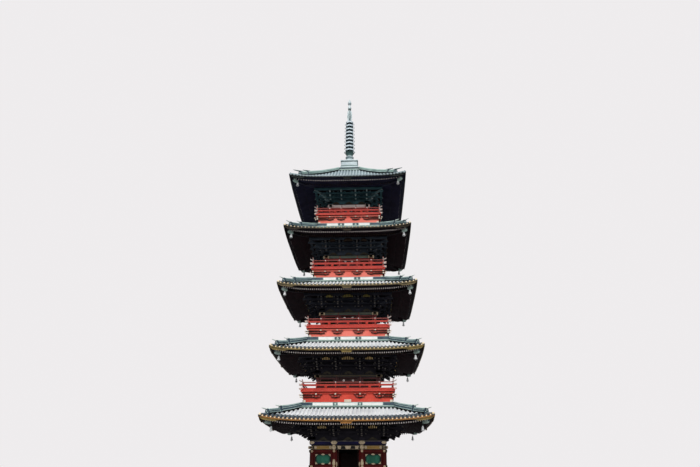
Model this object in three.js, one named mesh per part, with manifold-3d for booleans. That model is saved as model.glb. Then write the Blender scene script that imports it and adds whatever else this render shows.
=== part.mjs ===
// Five-storey pagoda with copper-tiled roofs, vermilion balconies and a ringed finial.
// Millimetres, +Z up. The origin is on the ground, in the middle of the stone platform.
// The front is towards -Y. Every storey is square, with three bays to a side.

import * as THREE from "three";
import { mergeVertices } from "three/addons/utils/BufferGeometryUtils.js";
import Module from "manifold-3d";

const wasm = await Module();
wasm.setup();

// Driving dimensions

const SEAT = 0.3; // gap kept between pieces that rest on each other along a cut face
const LAP = 10; // how far shapes reach into each other where they are joined
const PAST = 5; // how far a cutting shape reaches past the face that it cuts

// One entry for each storey, from the ground up.
// wall: half the distance between the corner columns' centres
// lintel: underside and top of the beam over the columns
// eave: half the roof's width at its corners, then the tile edge's lower side at mid-eave and at the corner
// crown: half the width, base and top of the box ridge round the foot of the next storey
// deck: half the balcony's width, its underside and top, and the top of its railing
const STOREYS = [
  {
    wall: 2550,
    lintel: [3400, 3990],
    eave: [5930, 5030, 5350],
    crown: [3380, 6200, 6560],
  },
  {
    wall: 2300,
    lintel: [8450, 8670],
    eave: [5555, 9830, 10110],
    crown: [3180, 11000, 11370],
    deck: [3435, 7280, 7450, 7990],
  },
  {
    wall: 2080,
    lintel: [13310, 13550],
    eave: [5305, 14680, 14970],
    crown: [3000, 15840, 16200],
    deck: [3200, 12020, 12200, 12800],
  },
  {
    wall: 1850,
    lintel: [18200, 18460],
    eave: [5070, 19510, 19810],
    crown: [2700, 20740, 21110],
    deck: [2965, 16880, 17030, 17700],
  },
  {
    wall: 1580,
    lintel: [23040, 23350],
    eave: [4865, 24300, 24590],
    crown: [980, 27250, 27560],
    deck: [2755, 21840, 21970, 22550],
  },
];
const INNER_COLUMN_SHARE = 0.387; // place of the columns beside the middle bay, as a share of wall

// Platform and ground floor
const PLATFORM_HALF = 4100;
const PLATFORM_TOP = 850;
const STEP_COUNT = 4;
const STEP_TREAD = 300;
const STAIR_HALF = 1150;
const STAIR_ROOT = 100; // how far the flights run back into the platform
const CHEEK_WIDTH = 260;
const CHEEK_OUT = 120; // how far the cheek stones reach past the lowest step
const FLOOR_TOP = 1000;
const FLOOR_HALF = 2800;

// Ground storey walls
const COLUMN_RADIUS = 165;
const COLUMN_SIDES = 8;
const WALL_THICK = 120;
const WINDOW_INNER = 1275;
const WINDOW_OUTER = 2250;
const WINDOW_BOTTOM = 2510;
const WINDOW_TOP = 3060;
const RAIL_OUT = 190; // how far the tie beams' outer face stands from the columns' centre line
const RAIL_THICK = 130;
const LOW_RAIL = [2210, 2390];
const HIGH_RAIL = [3220, 3390];
const DOORWAY_HALF = 775;
const THRESHOLD_TOP = 1060;
const THRESHOLD_HALF = 80; // half the front threshold's depth
const WALL_REACH = 400; // how far window cuts reach on both sides of a wall

// Window lattices of the ground storey
const LATTICE_LAP = 40; // how far a panel covers the wall round its window
const LATTICE_RAIL = 50; // thickness of the rail that holds the panels
const LATTICE_RAIL_HIGH = 90;

// Door leaves: each has a low and a high sunk panel between its stiles
const LEAF_THICK = 60;
const LEAF_CLEAR = 8; // space over and under a leaf
const LEAF_HINGE_EDGE = 750; // distance of the closed leaf's hinge edge from the middle
const LEAF_FREE_EDGE = 4;
const LEAF_STILE = 120;
const LOW_PANEL = [150, 950]; // over the leaf's foot
const HIGH_PANEL_FOOT = 1110;
const HIGH_PANEL_DROP = 150; // under the leaf's top
const PANEL_SUNK = 15;
const MEETING_GROOVE = [6, 20]; // half the width and the depth of the groove between closed leaves
const PIVOT_RADIUS = 20;
const PIVOT_SIDES = 12;

// Ring of beams over the ground storey: [out from the column line, thickness, top]
const HEAD_BEAM = [100, 200, 3660];
const SHADOW_BEAM = [60, 120, 3750];
const CAP_BEAM = [170, 340, STOREYS[0].lintel[1]];
const HEAD_NOSE = { out: 280, half: 75, foot: 3460, top: 3640 };

// Upper storeys
const POST_RADIUS = 130;
const POST_SIDES = 6;
const UPPER_WALL_THICK = 100;
const LINTEL_NOSE = 250; // how far the lintels run past the corner columns' centres
const LINTEL_HALF = 140;
const DOOR_SIDE = 200; // from the inner post's centre to the doorway
const DOOR_SILL = 90;
const DOOR_HEAD = 60;
const WINDOW_SIDE = 230; // from a post's centre to the window
const WINDOW_SILL = 330;
const WINDOW_HEAD = 130;
const SCREEN_THICK = 45;
const WAIST_SETBACK = 205; // waist wall's outer face, in from the deck's edge
const WAIST_THICK = 130;
const BLOCK = { half: 230, high: 230, proud: 70 }; // bracket blocks under the deck
const RAIL_BAR = 70;
const RAIL_SETBACK = 130;
const RAIL_CROSSING = 190; // how far the rails run past each other at the corners

// Roofs
const TILE_EDGE = 200; // height of the tile edge at the eave, with the board under it
const ROOF_THICK = 230;
const ROOF_LAP = 60; // how far the roof's thick part runs in under the crown
const LOFT_STEPS = 6; // facets along each side of a roof
const PEAK_LIMIT = 1500; // a crown narrower than this carries the finial
const SLOPE_BEND = { wide: 1.2, peak: 1.28 };
const SLOPE_STEPS = { wide: [0, 0.3, 0.65, 1], peak: [0, 0.2, 0.4, 0.6, 0.8, 1] };

// Rafters and brackets
const FLYING_SETBACK = 350; // flying rafters' ends, in from the tile edge
const FLYING_DROP = [200, 80]; // their underside and top, under the tile edge
const BASE_SETBACK = 1150; // base rafters' ends, in from the tile edge
const BASE_DROP = [180, 40];
const BASE_SLOPE = 0.3;
const WALL_LINE_OUT = 90; // where the rafters meet the wall beam, out from the column line
const CEILING_THICK = 150;
const HIP_TIP_SHARE = 0.925; // the hip rafters' ends, as a share of the eave's half width
const HIP_RAFTER_WIDTH = 190;
const HIP_RAFTER_DROP = [430, 200]; // underside and top at the tip, under the corner's tile edge
const BELL_IN = 270; // the bells' place, in from the hip rafters' ends
const BELL = { hook: 40, crown: 45, neck: 90, high: 390, mouth: 120, sides: 6 };
const PURLIN_OUT = 1250; // eave purlin's centre line, out from the column line
const PURLIN_HALF = 100;
const PURLIN_DROP = 100; // its underside, under the tile edge
const ARM_THICK = 200;
const CORNER_ARM_THICK = 230;
const ARM_TOP_DROP = 60;
const ARM_FOOT = 130; // how far the arms' foot stands out from the column line
const ARM_END = 90; // how far their ends pass the purlin's centre line
const WALL_BEAM_HALF = 80;
const MAST_HALF = 250; // the post in the top roof that stands under the finial
const PEAK_CARRY = 500; // height of the top roof's inner frame over its ceiling

// Hip ridges: ends and level stretches as shares of the way from eave to crown, heights over the tiles
const HIP_WIDTH = 250;
const LOW_RIDGE = { end: 0.09, level: 0.18, height: 290, horn: 430 };
const HIGH_RIDGE = { end: 0.4, level: 0.52, height: 410, horn: 550 };
const PEAK_HIGH_RIDGE = { end: 0.27, level: 0.37, height: 340, horn: 510 };
const CROWN_WALL = 130; // thickness of the box ridge

// Finial
const FINIAL_BASE_HALF = 800;
const FINIAL_BASE_TOP = 28450;
const BASE_LEDGE = { foot: 600, cap: 110, inset: 70 };
const LOTUS_HEIGHT = 1330;
const RING_COUNT = 9;
const RING_FIRST = 29900;
const RING_STEP = 393;
const RING_RADIUS = 550;
const RING_TAPER = 7; // each ring's radius is this much smaller than the one below
const RING_HALF = [90, 100]; // half a ring's height at its rim and at the shaft
const SHAFT_RADIUS = 80;
const FLAME_THICK = 30;
const FINIAL_TOP = 36000;

// Colours, with roughness and metalness
const STONE = { color: 0x8c8a83, roughness: 0.9, metalness: 0 };
const RED = { color: 0xb4301f, roughness: 0.5, metalness: 0 };
const DARK_RED = { color: 0x6b1c17, roughness: 0.5, metalness: 0 };
const LATTICE_GREEN = { color: 0x2f7f68, roughness: 0.6, metalness: 0 };
const DARK_WOOD = { color: 0x231e26, roughness: 0.6, metalness: 0 };
const LINTEL_PAINT = { color: 0x6f7a63, roughness: 0.6, metalness: 0 };
const TILE_COPPER = { color: 0x93a3a6, roughness: 0.55, metalness: 0.3 };
const RIDGE_COPPER = { color: 0x64786f, roughness: 0.6, metalness: 0.3 };
const FINIAL_BRONZE = { color: 0x5f7a73, roughness: 0.55, metalness: 0.5 };

// Solids: three.js geometry in, joined and cut solids out

function manifoldOf(vertProperties, corners) {
  const triVerts = new Uint32Array(corners);
  return new wasm.Manifold(new wasm.Mesh({ numProp: 3, vertProperties, triVerts }));
}

function solidOf(geometry) {
  const bare = geometry.clone();
  bare.deleteAttribute("normal");
  bare.deleteAttribute("uv");
  const merged = mergeVertices(bare, 0.01);
  const corners = merged.index.array;
  const kept = [];
  for (let i = 0; i < corners.length; i += 3) {
    const [a, b, c] = [corners[i], corners[i + 1], corners[i + 2]];
    if (a !== b && b !== c && c !== a) kept.push(a, b, c);
  }
  const places = merged.attributes.position.array;
  const made = manifoldOf(places, kept);
  return made.volume() > 0 ? made : manifoldOf(places, kept.reverse());
}

function geometryOf(solid) {
  const mesh = solid.getMesh();
  const geometry = new THREE.BufferGeometry();
  geometry.setAttribute("position", new THREE.BufferAttribute(new Float32Array(mesh.vertProperties), 3));
  geometry.setIndex(new THREE.BufferAttribute(new Uint32Array(mesh.triVerts), 1));
  geometry.computeVertexNormals();
  return geometry;
}

const join = (geometries) => geometries.map(solidOf).reduce((all, one) => all.add(one));
const cut = (solid, geometries) => geometries.map(solidOf).reduce((all, one) => all.subtract(one), solid);

function box(x0, x1, y0, y1, z0, z1) {
  const geometry = new THREE.BoxGeometry(x1 - x0, y1 - y0, z1 - z0);
  return geometry.translate((x0 + x1) / 2, (y0 + y1) / 2, (z0 + z1) / 2);
}

// A box whose x runs from a to b on the right of the middle, or mirrored on the left
function sidedBox(sign, a, b, y0, y1, z0, z1) {
  return sign > 0 ? box(a, b, y0, y1, z0, z1) : box(-b, -a, y0, y1, z0, z1);
}

function cylinder(radius, x, y, z0, z1, sides) {
  return new THREE.CylinderGeometry(radius, radius, z1 - z0, sides)
    .rotateX(Math.PI / 2)
    .rotateZ(Math.PI / sides)
    .translate(x, y, (z0 + z1) / 2);
}

// Exact quarter turns keep faces that lie in one plane in that plane
function turned(geometry, quarter) {
  const [c, s] = [[1, 0], [0, 1], [-1, 0], [0, -1]][quarter];
  const turn = new THREE.Matrix4().set(c, -s, 0, 0, s, c, 0, 0, 0, 0, 1, 0, 0, 0, 0, 1);
  return geometry.clone().applyMatrix4(turn);
}

const onFourSides = (geometries) => [0, 1, 2, 3].flatMap((q) => geometries.map((g) => turned(g, q)));

// A square ring or plate: the section is a list of [half width, height, share of the corner lift].
// It is turned round the axis by a lathe whose round is then pressed into a square.
function squareLoft(section, lift = 0, steps = 1) {
  const points = section.map(([half, z]) => new THREE.Vector2(half, z));
  points.push(points[0].clone());
  const shares = section.map(([, , share = 0]) => share);
  shares.push(shares[0]);
  const lathe = new THREE.LatheGeometry(points, 4 * steps);
  const place = lathe.attributes.position;
  for (let i = 0; i <= 4 * steps; i += 1) {
    const side = Math.floor(i / steps) % 4;
    const along = Math.sin(((2 * (i % steps)) / steps - 1) * (Math.PI / 2));
    const rise = lift * Math.abs(along) ** 4;
    const [c, s] = [[1, 0, -1, 0][side], [0, 1, 0, -1][side]];
    points.forEach((point, j) => {
      const [x, y] = [along * point.x, -point.x];
      place.setXYZ(i * points.length + j, x * c - y * s, x * s + y * c, point.y + rise * shares[j]);
    });
  }
  return lathe;
}

const squareRing = (inner, outer, z0, z1) =>
  squareLoft([[inner, z0], [outer, z0], [outer, z1], [inner, z1]]);

// A round piece turned about the axis: the profile runs from the axis back to it, as [radius, height].
function turnedPiece(profile, sides, x = 0, y = 0) {
  const points = profile.map(([r, z]) => new THREE.Vector2(r, z));
  return new THREE.LatheGeometry(points, sides).rotateX(Math.PI / 2).translate(x, y, 0);
}

// An upright plate: its outline in a plane through the axis, as [distance out, height].
function uprightPlate(outline, thick, angle, centre = [0, 0]) {
  const shape = new THREE.Shape(outline.map(([s, z]) => new THREE.Vector2(s, z)));
  return new THREE.ExtrudeGeometry(shape, { depth: thick, bevelEnabled: false })
    .translate(0, 0, -thick / 2)
    .rotateX(Math.PI / 2)
    .rotateZ(angle)
    .translate(centre[0], centre[1], 0);
}

const TO_FRONT = -Math.PI / 2;
const TO_CORNER = -Math.PI / 4;
const alongDiagonal = (outline) => outline.map(([s, z]) => [s * Math.SQRT2, z]);

const pagoda = new THREE.Group();

function addNode(name, solid, finish, parent = pagoda) {
  const mesh = new THREE.Mesh(geometryOf(solid), new THREE.MeshStandardMaterial(finish));
  mesh.name = name;
  parent.add(mesh);
  return mesh;
}

// Stone platform with a flight of steps on each side

function stonePlatform() {
  const riser = PLATFORM_TOP / STEP_COUNT;
  const root = PLATFORM_HALF - STAIR_ROOT;
  const edge = PLATFORM_HALF + (STEP_COUNT - 1) * STEP_TREAD;
  const steps = [[root, 0], [edge, 0]];
  for (let step = 1; step < STEP_COUNT; step += 1) {
    const out = PLATFORM_HALF + (STEP_COUNT - step) * STEP_TREAD;
    steps.push([out, step * riser], [out - STEP_TREAD, step * riser]);
  }
  steps.push([root, (STEP_COUNT - 1) * riser]);
  const cheek = [[root, 0], [edge + CHEEK_OUT, 0], [edge + CHEEK_OUT, riser], [root, PLATFORM_TOP]];
  const flight = [uprightPlate(steps, 2 * STAIR_HALF + 2, TO_FRONT)];
  for (const sign of [-1, 1]) {
    flight.push(uprightPlate(cheek, CHEEK_WIDTH, TO_FRONT, [sign * (STAIR_HALF + CHEEK_WIDTH / 2), 0]));
  }
  const body = box(-PLATFORM_HALF, PLATFORM_HALF, -PLATFORM_HALF, PLATFORM_HALF, 0, PLATFORM_TOP);
  return join([body, ...onFourSides(flight)]);
}

// Floor of the ground storey, with the raised threshold of the front doorway

function thresholdBox(half, depthHalf, z0, z1) {
  const { wall } = STOREYS[0];
  return box(-half, half, -wall - depthHalf, -wall + depthHalf, z0, z1);
}

const betweenColumns = STOREYS[0].wall * INNER_COLUMN_SHARE - COLUMN_RADIUS - SEAT;

function groundFloor() {
  const slab = box(-FLOOR_HALF, FLOOR_HALF, -FLOOR_HALF, FLOOR_HALF, PLATFORM_TOP, FLOOR_TOP);
  return join([slab, thresholdBox(betweenColumns, THRESHOLD_HALF, FLOOR_TOP - LAP, THRESHOLD_TOP)]);
}

// Ground storey walls: each side is two columns by the doorway and a wall with a window beside each.
// The front and back walls hold the corner columns, and the walls between them end at those columns.

function sideBay(sign, withCorner) {
  const { wall, lintel } = STOREYS[0];
  const inner = wall * INNER_COLUMN_SHARE;
  const face = -wall - RAIL_OUT;
  const railEnd = wall + RAIL_OUT - (withCorner ? 0 : RAIL_THICK + SEAT);
  const wallEnd = withCorner ? wall : wall - COLUMN_RADIUS + 2 * LAP;
  const column = (x) => cylinder(COLUMN_RADIUS, x, -wall, FLOOR_TOP, lintel[0], COLUMN_SIDES);
  const [outside, inside] = [-wall - WALL_THICK / 2, -wall + WALL_THICK / 2];
  const panel = (a, b) => sidedBox(sign, a, b, outside, inside, FLOOR_TOP, lintel[0]);
  const tieBeam = ([z0, z1]) =>
    sidedBox(sign, inner - COLUMN_RADIUS, railEnd, face, face + RAIL_THICK, z0, z1);
  const pieces = [
    column(sign * inner),
    panel(inner, wallEnd),
    panel(DOORWAY_HALF, inner),
    tieBeam(LOW_RAIL),
    tieBeam(HIGH_RAIL),
  ];
  if (withCorner) pieces.push(column(sign * wall));
  const reach = [-wall - WALL_REACH, -wall + WALL_REACH];
  const hole = sidedBox(sign, WINDOW_INNER, WINDOW_OUTER, ...reach, WINDOW_BOTTOM, WINDOW_TOP);
  return { pieces, hole };
}

function frontWall(sign) {
  const bay = sideBay(sign, true);
  const room = thresholdBox(betweenColumns + 2, THRESHOLD_HALF + 2, FLOOR_TOP - LAP, THRESHOLD_TOP + SEAT);
  return cut(join(bay.pieces), [bay.hole, room]);
}

function closedWall(quarter, withCorners) {
  const { wall, lintel } = STOREYS[0];
  const bays = [sideBay(-1, withCorners), sideBay(1, withCorners)];
  const threshold = thresholdBox(DOORWAY_HALF + PAST, WALL_THICK / 2, FLOOR_TOP, THRESHOLD_TOP);
  const pieces = [...bays[0].pieces, ...bays[1].pieces, threshold];
  const holes = [bays[0].hole, bays[1].hole];
  if (!withCorners) {
    const room = (x) =>
      cylinder(COLUMN_RADIUS + 1, x, -wall, FLOOR_TOP - PAST, lintel[0] + PAST, COLUMN_SIDES);
    holes.push(room(-wall), room(wall));
  }
  return cut(join(pieces.map((g) => turned(g, quarter))), holes.map((g) => turned(g, quarter)));
}

// Window lattices of the ground storey: a rail inside the columns, open at the front door,
// with a panel at each window

function groundLattices() {
  const { wall } = STOREYS[0];
  const panelOut = wall - WALL_THICK / 2 - SEAT;
  const railOut = wall - COLUMN_RADIUS * Math.cos(Math.PI / COLUMN_SIDES) - SEAT;
  const railIn = railOut - LATTICE_RAIL;
  const [rail0, rail1] = [WINDOW_TOP + LATTICE_LAP, WINDOW_TOP + LATTICE_LAP + LATTICE_RAIL_HIGH];
  const [edge0, edge1] = [WINDOW_INNER - LATTICE_LAP, WINDOW_OUTER + LATTICE_LAP];
  const [foot, top] = [WINDOW_BOTTOM - LATTICE_LAP, rail1 - LAP];
  const panel = (sign) => sidedBox(sign, edge0, edge1, -panelOut, -railIn - LAP, foot, top);
  const gapHalf = edge0 + 2 * LAP;
  const gap = box(-gapHalf, gapHalf, -railOut - PAST, -railIn + PAST, rail0 - PAST, rail1 + PAST);
  const rail = cut(solidOf(squareRing(railIn, railOut, rail0, rail1)), [gap]);
  return join([geometryOf(rail), ...onFourSides([panel(-1), panel(1)])]);
}

// Closed double doors of the sides that stay shut: two leaves as one panel, with a groove where they meet

function closedDoors(quarter) {
  const { wall, lintel } = STOREYS[0];
  const half = DOORWAY_HALF - 1;
  const [z0, z1] = [THRESHOLD_TOP + SEAT, lintel[0] - PAST];
  const panel = box(-half, half, -wall, -wall + LEAF_THICK, z0, z1);
  const [grooveHalf, grooveDeep] = MEETING_GROOVE;
  const grooves = [box(-grooveHalf, grooveHalf, -wall - PAST, -wall + grooveDeep, z0 - PAST, z1 + PAST)];
  for (const sign of [-1, 1]) {
    const sunk = (a, b) =>
      sidedBox(sign, LEAF_STILE, half - LEAF_STILE, -wall - PAST, -wall + PANEL_SUNK, a, b);
    grooves.push(sunk(z0 + LOW_PANEL[0], z0 + LOW_PANEL[1]));
    grooves.push(sunk(z0 + HIGH_PANEL_FOOT, z1 - HIGH_PANEL_DROP));
  }
  return cut(solidOf(turned(panel, quarter)), grooves.map((g) => turned(g, quarter)));
}

// A front door leaf, built about its pivot and standing open into the room

function doorLeaf(sign) {
  const { lintel } = STOREYS[0];
  const [z0, z1] = [THRESHOLD_TOP + LEAF_CLEAR, lintel[0] - LEAF_CLEAR];
  const r = LEAF_THICK / 2;
  const length = LEAF_HINGE_EDGE - LEAF_FREE_EDGE - r;
  const face = sign * r;
  const leaf = join([
    box(-r, r, -r, length, z0, z1),
    cylinder(PIVOT_RADIUS, 0, 0, THRESHOLD_TOP + SEAT, z0 + LAP, PIVOT_SIDES),
    cylinder(PIVOT_RADIUS, 0, 0, z1 - LAP, lintel[0] - SEAT, PIVOT_SIDES),
  ]);
  const sunk = (a, b) =>
    box(face - PANEL_SUNK, face + PANEL_SUNK, LEAF_STILE - r, length - LEAF_STILE, a, b);
  const low = sunk(z0 + LOW_PANEL[0], z0 + LOW_PANEL[1]);
  return cut(leaf, [low, sunk(z0 + HIGH_PANEL_FOOT, z1 - HIGH_PANEL_DROP)]);
}

// Beam ring over the ground storey's columns: the head beams and the plate that carries the brackets

function groundLintel() {
  const { wall, lintel } = STOREYS[0];
  const beam = ([out, thick, top], foot) => squareRing(wall + out - thick, wall + out, foot, top);
  const end = wall + HEAD_NOSE.out;
  const side = [-wall - HEAD_NOSE.half, -wall + HEAD_NOSE.half];
  const nose = box(-end, end, ...side, HEAD_NOSE.foot, HEAD_NOSE.top);
  const shadow = beam(SHADOW_BEAM, HEAD_BEAM[2] - LAP);
  const cap = beam(CAP_BEAM, SHADOW_BEAM[2] - LAP);
  return join([beam(HEAD_BEAM, lintel[0]), shadow, cap, ...onFourSides([nose])]);
}

// Underside of the rafter layer: its height at the base rafters' ends and over the column line

function rafterLevels({ wall, eave }) {
  const step = eave[0] - BASE_SETBACK;
  const wallLine = wall + WALL_LINE_OUT;
  const low = eave[1] - BASE_DROP[0];
  const under = (half) => low + BASE_SLOPE * (step - half);
  return { step, wallLine, low, under, ceiling: under(wallLine) };
}

// Brackets: stepped arms at the columns between the wall beam and the eave purlin

function brackets(storey) {
  const { wall, lintel, eave } = storey;
  const { under, ceiling } = rafterLevels(storey);
  const [base, top] = [lintel[1], eave[1] - ARM_TOP_DROP];
  const end = PURLIN_OUT + ARM_END;
  const shoulder = base + 0.8 * (top - base);
  const profile = [[0, base], [ARM_FOOT, base], [end, shoulder], [end, top], [0, top]];
  const arms = [-INNER_COLUMN_SHARE, INNER_COLUMN_SHARE].map((share) =>
    uprightPlate(profile, ARM_THICK, TO_FRONT, [share * wall, -wall]));
  arms.push(uprightPlate(alongDiagonal(profile), CORNER_ARM_THICK, TO_CORNER, [wall, -wall]));
  const wallBeam = squareRing(wall - WALL_BEAM_HALF, wall + WALL_BEAM_HALF, base, ceiling - 100);
  const [near, far] = [wall + PURLIN_OUT - PURLIN_HALF, wall + PURLIN_OUT + PURLIN_HALF];
  const foot = eave[1] - PURLIN_DROP;
  const [nearTop, farTop] = [under(near) - SEAT, under(far) - SEAT];
  const purlin = squareLoft([[near, foot], [far, foot], [far, farTop], [near, nearTop]]);
  return join([wallBeam, purlin, ...onFourSides(arms)]);
}

// Roof: curved tile slopes with lifted corners, closed under the next storey

const isPeak = ({ crown }) => crown[0] < PEAK_LIMIT;
const roofSteps = (storey) => (isPeak(storey) ? SLOPE_STEPS.peak : SLOPE_STEPS.wide);

// A place on the slope, with v from 0 at the eave to 1 at the crown
function roofLine(storey) {
  const { eave, crown } = storey;
  const edgeTop = eave[1] + TILE_EDGE;
  const bend = isPeak(storey) ? SLOPE_BEND.peak : SLOPE_BEND.wide;
  return (v) => ({
    half: eave[0] + (crown[0] - eave[0]) * v,
    z: edgeTop + (crown[1] - edgeTop) * v ** bend,
    share: Math.max(0, 1 - v) ** 1.5,
  });
}

function roof(storey) {
  const { eave, crown } = storey;
  const line = roofLine(storey);
  const slopes = roofSteps(storey).map((v) => [line(v).half, line(v).z, line(v).share]);
  const under = crown[1] - ROOF_THICK;
  const section = [[eave[0], eave[1], 1], ...slopes, [0, crown[1]], [0, under], [crown[0] - ROOF_LAP, under]];
  if (isPeak(storey)) section.push([line(0.5).half, line(0.5).z - ROOF_THICK * 1.4, 0.2]);
  return solidOf(squareLoft(section, eave[2] - eave[1], LOFT_STEPS));
}

// Eaves: the rafter layer under a roof with its hip rafters, a bell at each corner, and the ceiling inside.
// Its flat top inside the crown carries the roof, and outside that it falls away under the tile edge.

function hipRafter(storey) {
  const { wall, eave } = storey;
  const { step, low, ceiling } = rafterLevels(storey);
  const lift = eave[2] - eave[1];
  const tip = eave[0] * HIP_TIP_SHARE;
  const side = [
    [wall - 40, ceiling - 60],
    [step, low - 40 + 0.55 * lift],
    [tip, eave[2] - HIP_RAFTER_DROP[0]],
    [tip, eave[2] - HIP_RAFTER_DROP[1]],
    [wall - 40, ceiling + 100],
  ];
  return uprightPlate(alongDiagonal(side), HIP_RAFTER_WIDTH, TO_CORNER);
}

function cornerBell({ eave }) {
  const at = eave[0] * HIP_TIP_SHARE - BELL_IN;
  const hang = eave[2] - HIP_RAFTER_DROP[0] + BELL.hook;
  const profile = [
    [0, hang],
    [BELL.crown, hang],
    [BELL.crown, hang - BELL.neck],
    [BELL.mouth, hang - BELL.high],
    [0, hang - BELL.high],
  ];
  return turnedPiece(profile, BELL.sides, at, -at);
}

function eaves(storey) {
  const { eave, crown } = storey;
  const ends = eave[0] - FLYING_SETBACK;
  const { step, wallLine, low, ceiling } = rafterLevels(storey);
  const carry = isPeak(storey) ? ceiling + PEAK_CARRY : crown[1] - ROOF_THICK - SEAT;
  const carryHalf = isPeak(storey) ? wallLine + 100 : crown[0] - 110;
  const section = [
    [ends, eave[1] - FLYING_DROP[0], 0.95],
    [ends, eave[1] - FLYING_DROP[1], 0.95],
    [carryHalf, carry],
    [wallLine - 60, carry],
    [wallLine - 60, ceiling + CEILING_THICK],
    [0, ceiling + CEILING_THICK],
    [0, ceiling],
    [wallLine, ceiling],
    [step, low, 0.55],
    [step, eave[1] - BASE_DROP[1], 0.7],
  ];
  const frame = squareLoft(section, eave[2] - eave[1], LOFT_STEPS);
  const pieces = [frame, ...onFourSides([hipRafter(storey), cornerBell(storey)])];
  if (isPeak(storey)) {
    const [foot, top] = [ceiling + CEILING_THICK - LAP, crown[1] - ROOF_THICK - SEAT];
    pieces.push(box(-MAST_HALF, MAST_HALF, -MAST_HALF, MAST_HALF, foot, top));
  }
  return join(pieces);
}

// A place on the faceted slope, between two of its bends
function slopeAt(storey, v) {
  const line = roofLine(storey);
  const steps = roofSteps(storey);
  const next = Math.max(1, steps.findIndex((bend) => bend >= v));
  const [a, b] = [steps[next - 1], steps[next]];
  const t = (v - a) / (b - a);
  const mix = (key) => line(a)[key] * (1 - t) + line(b)[key] * t;
  return { half: mix("half"), z: mix("z"), share: mix("share") };
}

// Ridges: the box ridge round the foot of the next storey and a two-stage ridge down each hip

function ridges(storey) {
  const { eave, crown } = storey;
  const lift = eave[2] - eave[1];
  const foot = crown[1] + SEAT;
  const high = isPeak(storey) ? PEAK_HIGH_RIDGE : HIGH_RIDGE;
  const over = (v, height) => {
    const at = slopeAt(storey, v);
    return [at.half, at.z + lift * at.share + height];
  };
  const bends = roofSteps(storey).filter((v) => v > LOW_RIDGE.end);
  const lowBends = bends.filter((v) => v > LOW_RIDGE.level && v < high.end);
  const highBends = bends.filter((v) => v > high.level && v < 1);
  const inside = crown[0] - ROOF_LAP;
  const outline = [
    [inside, foot],
    ...bends.toReversed().map((v) => over(v, SEAT)),
    over(LOW_RIDGE.end, SEAT),
    over(LOW_RIDGE.end, LOW_RIDGE.horn),
    over(LOW_RIDGE.level, LOW_RIDGE.height),
    ...lowBends.map((v) => over(v, LOW_RIDGE.height)),
    over(high.end, LOW_RIDGE.height),
    over(high.end, high.horn),
    over(high.level, high.height),
    ...highBends.map((v) => over(v, high.height)),
    [crown[0], crown[2]],
    [inside, crown[2]],
  ];
  const inner = isPeak(storey) ? FINIAL_BASE_HALF + 25 : crown[0] - CROWN_WALL;
  const crownRing = squareRing(inner, crown[0], foot, crown[2]);
  return join([crownRing, ...onFourSides([uprightPlate(alongDiagonal(outline), HIP_WIDTH, TO_CORNER)])]);
}

// Places along a side where the columns stand, and so the bracket blocks and the railing's posts
const COLUMN_SHARES = [-1, -INNER_COLUMN_SHARE, INNER_COLUMN_SHARE, 1];
const columnPlaces = (wall) => COLUMN_SHARES.map((share) => share * wall);

// Balcony: the waist wall that stands on the roof below, with its bracket blocks, and the deck over it

function balcony(storey, below) {
  const { wall, deck } = storey;
  const waist = deck[0] - WAIST_SETBACK;
  const walls = squareRing(waist - WAIST_THICK, waist, below.crown[1] + SEAT, deck[1] + LAP);
  const slab = box(-deck[0], deck[0], -deck[0], deck[0], deck[1], deck[2]);
  const blocks = columnPlaces(wall).map((x) => {
    const span = [x - BLOCK.half, x + BLOCK.half];
    return box(...span, -waist - BLOCK.proud, -waist + LAP, deck[1] - BLOCK.high, deck[1] + LAP);
  });
  return join([walls, slab, ...onFourSides(blocks)]);
}

// Railing: the foot rail and the top rail on posts, crossing at the corners

function railing({ wall, deck }) {
  const line = deck[0] - RAIL_SETBACK;
  const reach = line + RAIL_CROSSING;
  const [foot, top] = [deck[2], deck[3]];
  const r = RAIL_BAR / 2;
  const rail = (z0) => box(-reach, reach, -line - r, -line + r, z0, z0 + RAIL_BAR);
  const bars = [rail(foot), rail(top - RAIL_BAR)];
  for (const x of columnPlaces(wall)) {
    const depth = r * 0.8;
    bars.push(box(x - r, x + r, -line - depth, -line + depth, foot + RAIL_BAR - LAP, top - RAIL_BAR + LAP));
  }
  return join(onFourSides(bars));
}

// Upper walls: posts, boards with a doorway and two windows to a side, and the lintel with its crossing ends

function upperWalls({ wall, lintel, deck }) {
  const inner = wall * INNER_COLUMN_SHARE;
  const foot = deck[2];
  const half = UPPER_WALL_THICK / 2;
  const top = lintel[0] + 2 * LAP;
  const boards = squareRing(wall - half, wall + half, foot, top);
  const posts = [-inner, inner, wall].map((x) => cylinder(POST_RADIUS, x, -wall, foot, top, POST_SIDES));
  const end = wall + LINTEL_NOSE;
  const beam = box(-end, end, -wall - LINTEL_HALF, -wall + LINTEL_HALF, lintel[0], lintel[1]);
  const reach = [-wall - WALL_REACH, -wall + WALL_REACH];
  const doorHalf = inner - DOOR_SIDE;
  const door = box(-doorHalf, doorHalf, ...reach, foot + DOOR_SILL, lintel[0] - DOOR_HEAD);
  const [edge0, edge1] = [inner + WINDOW_SIDE, wall - WINDOW_SIDE];
  const window = (sign) =>
    sidedBox(sign, edge0, edge1, ...reach, foot + WINDOW_SILL, lintel[0] - WINDOW_HEAD);
  const holes = onFourSides([door, window(-1), window(1)]);
  return cut(join([boards, ...onFourSides([...posts, beam])]), holes);
}

// Doors and lattices of an upper storey: one closed sheet that touches the posts from inside

function upperScreens({ wall, lintel, deck }) {
  const outer = wall - POST_RADIUS * Math.cos(Math.PI / POST_SIDES) - SEAT;
  return solidOf(squareRing(outer - SCREEN_THICK, outer, deck[2], lintel[0] - SEAT));
}

// Finial: base box, inverted bowl and lotus, nine rings on the shaft, flame and two jewels

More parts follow.
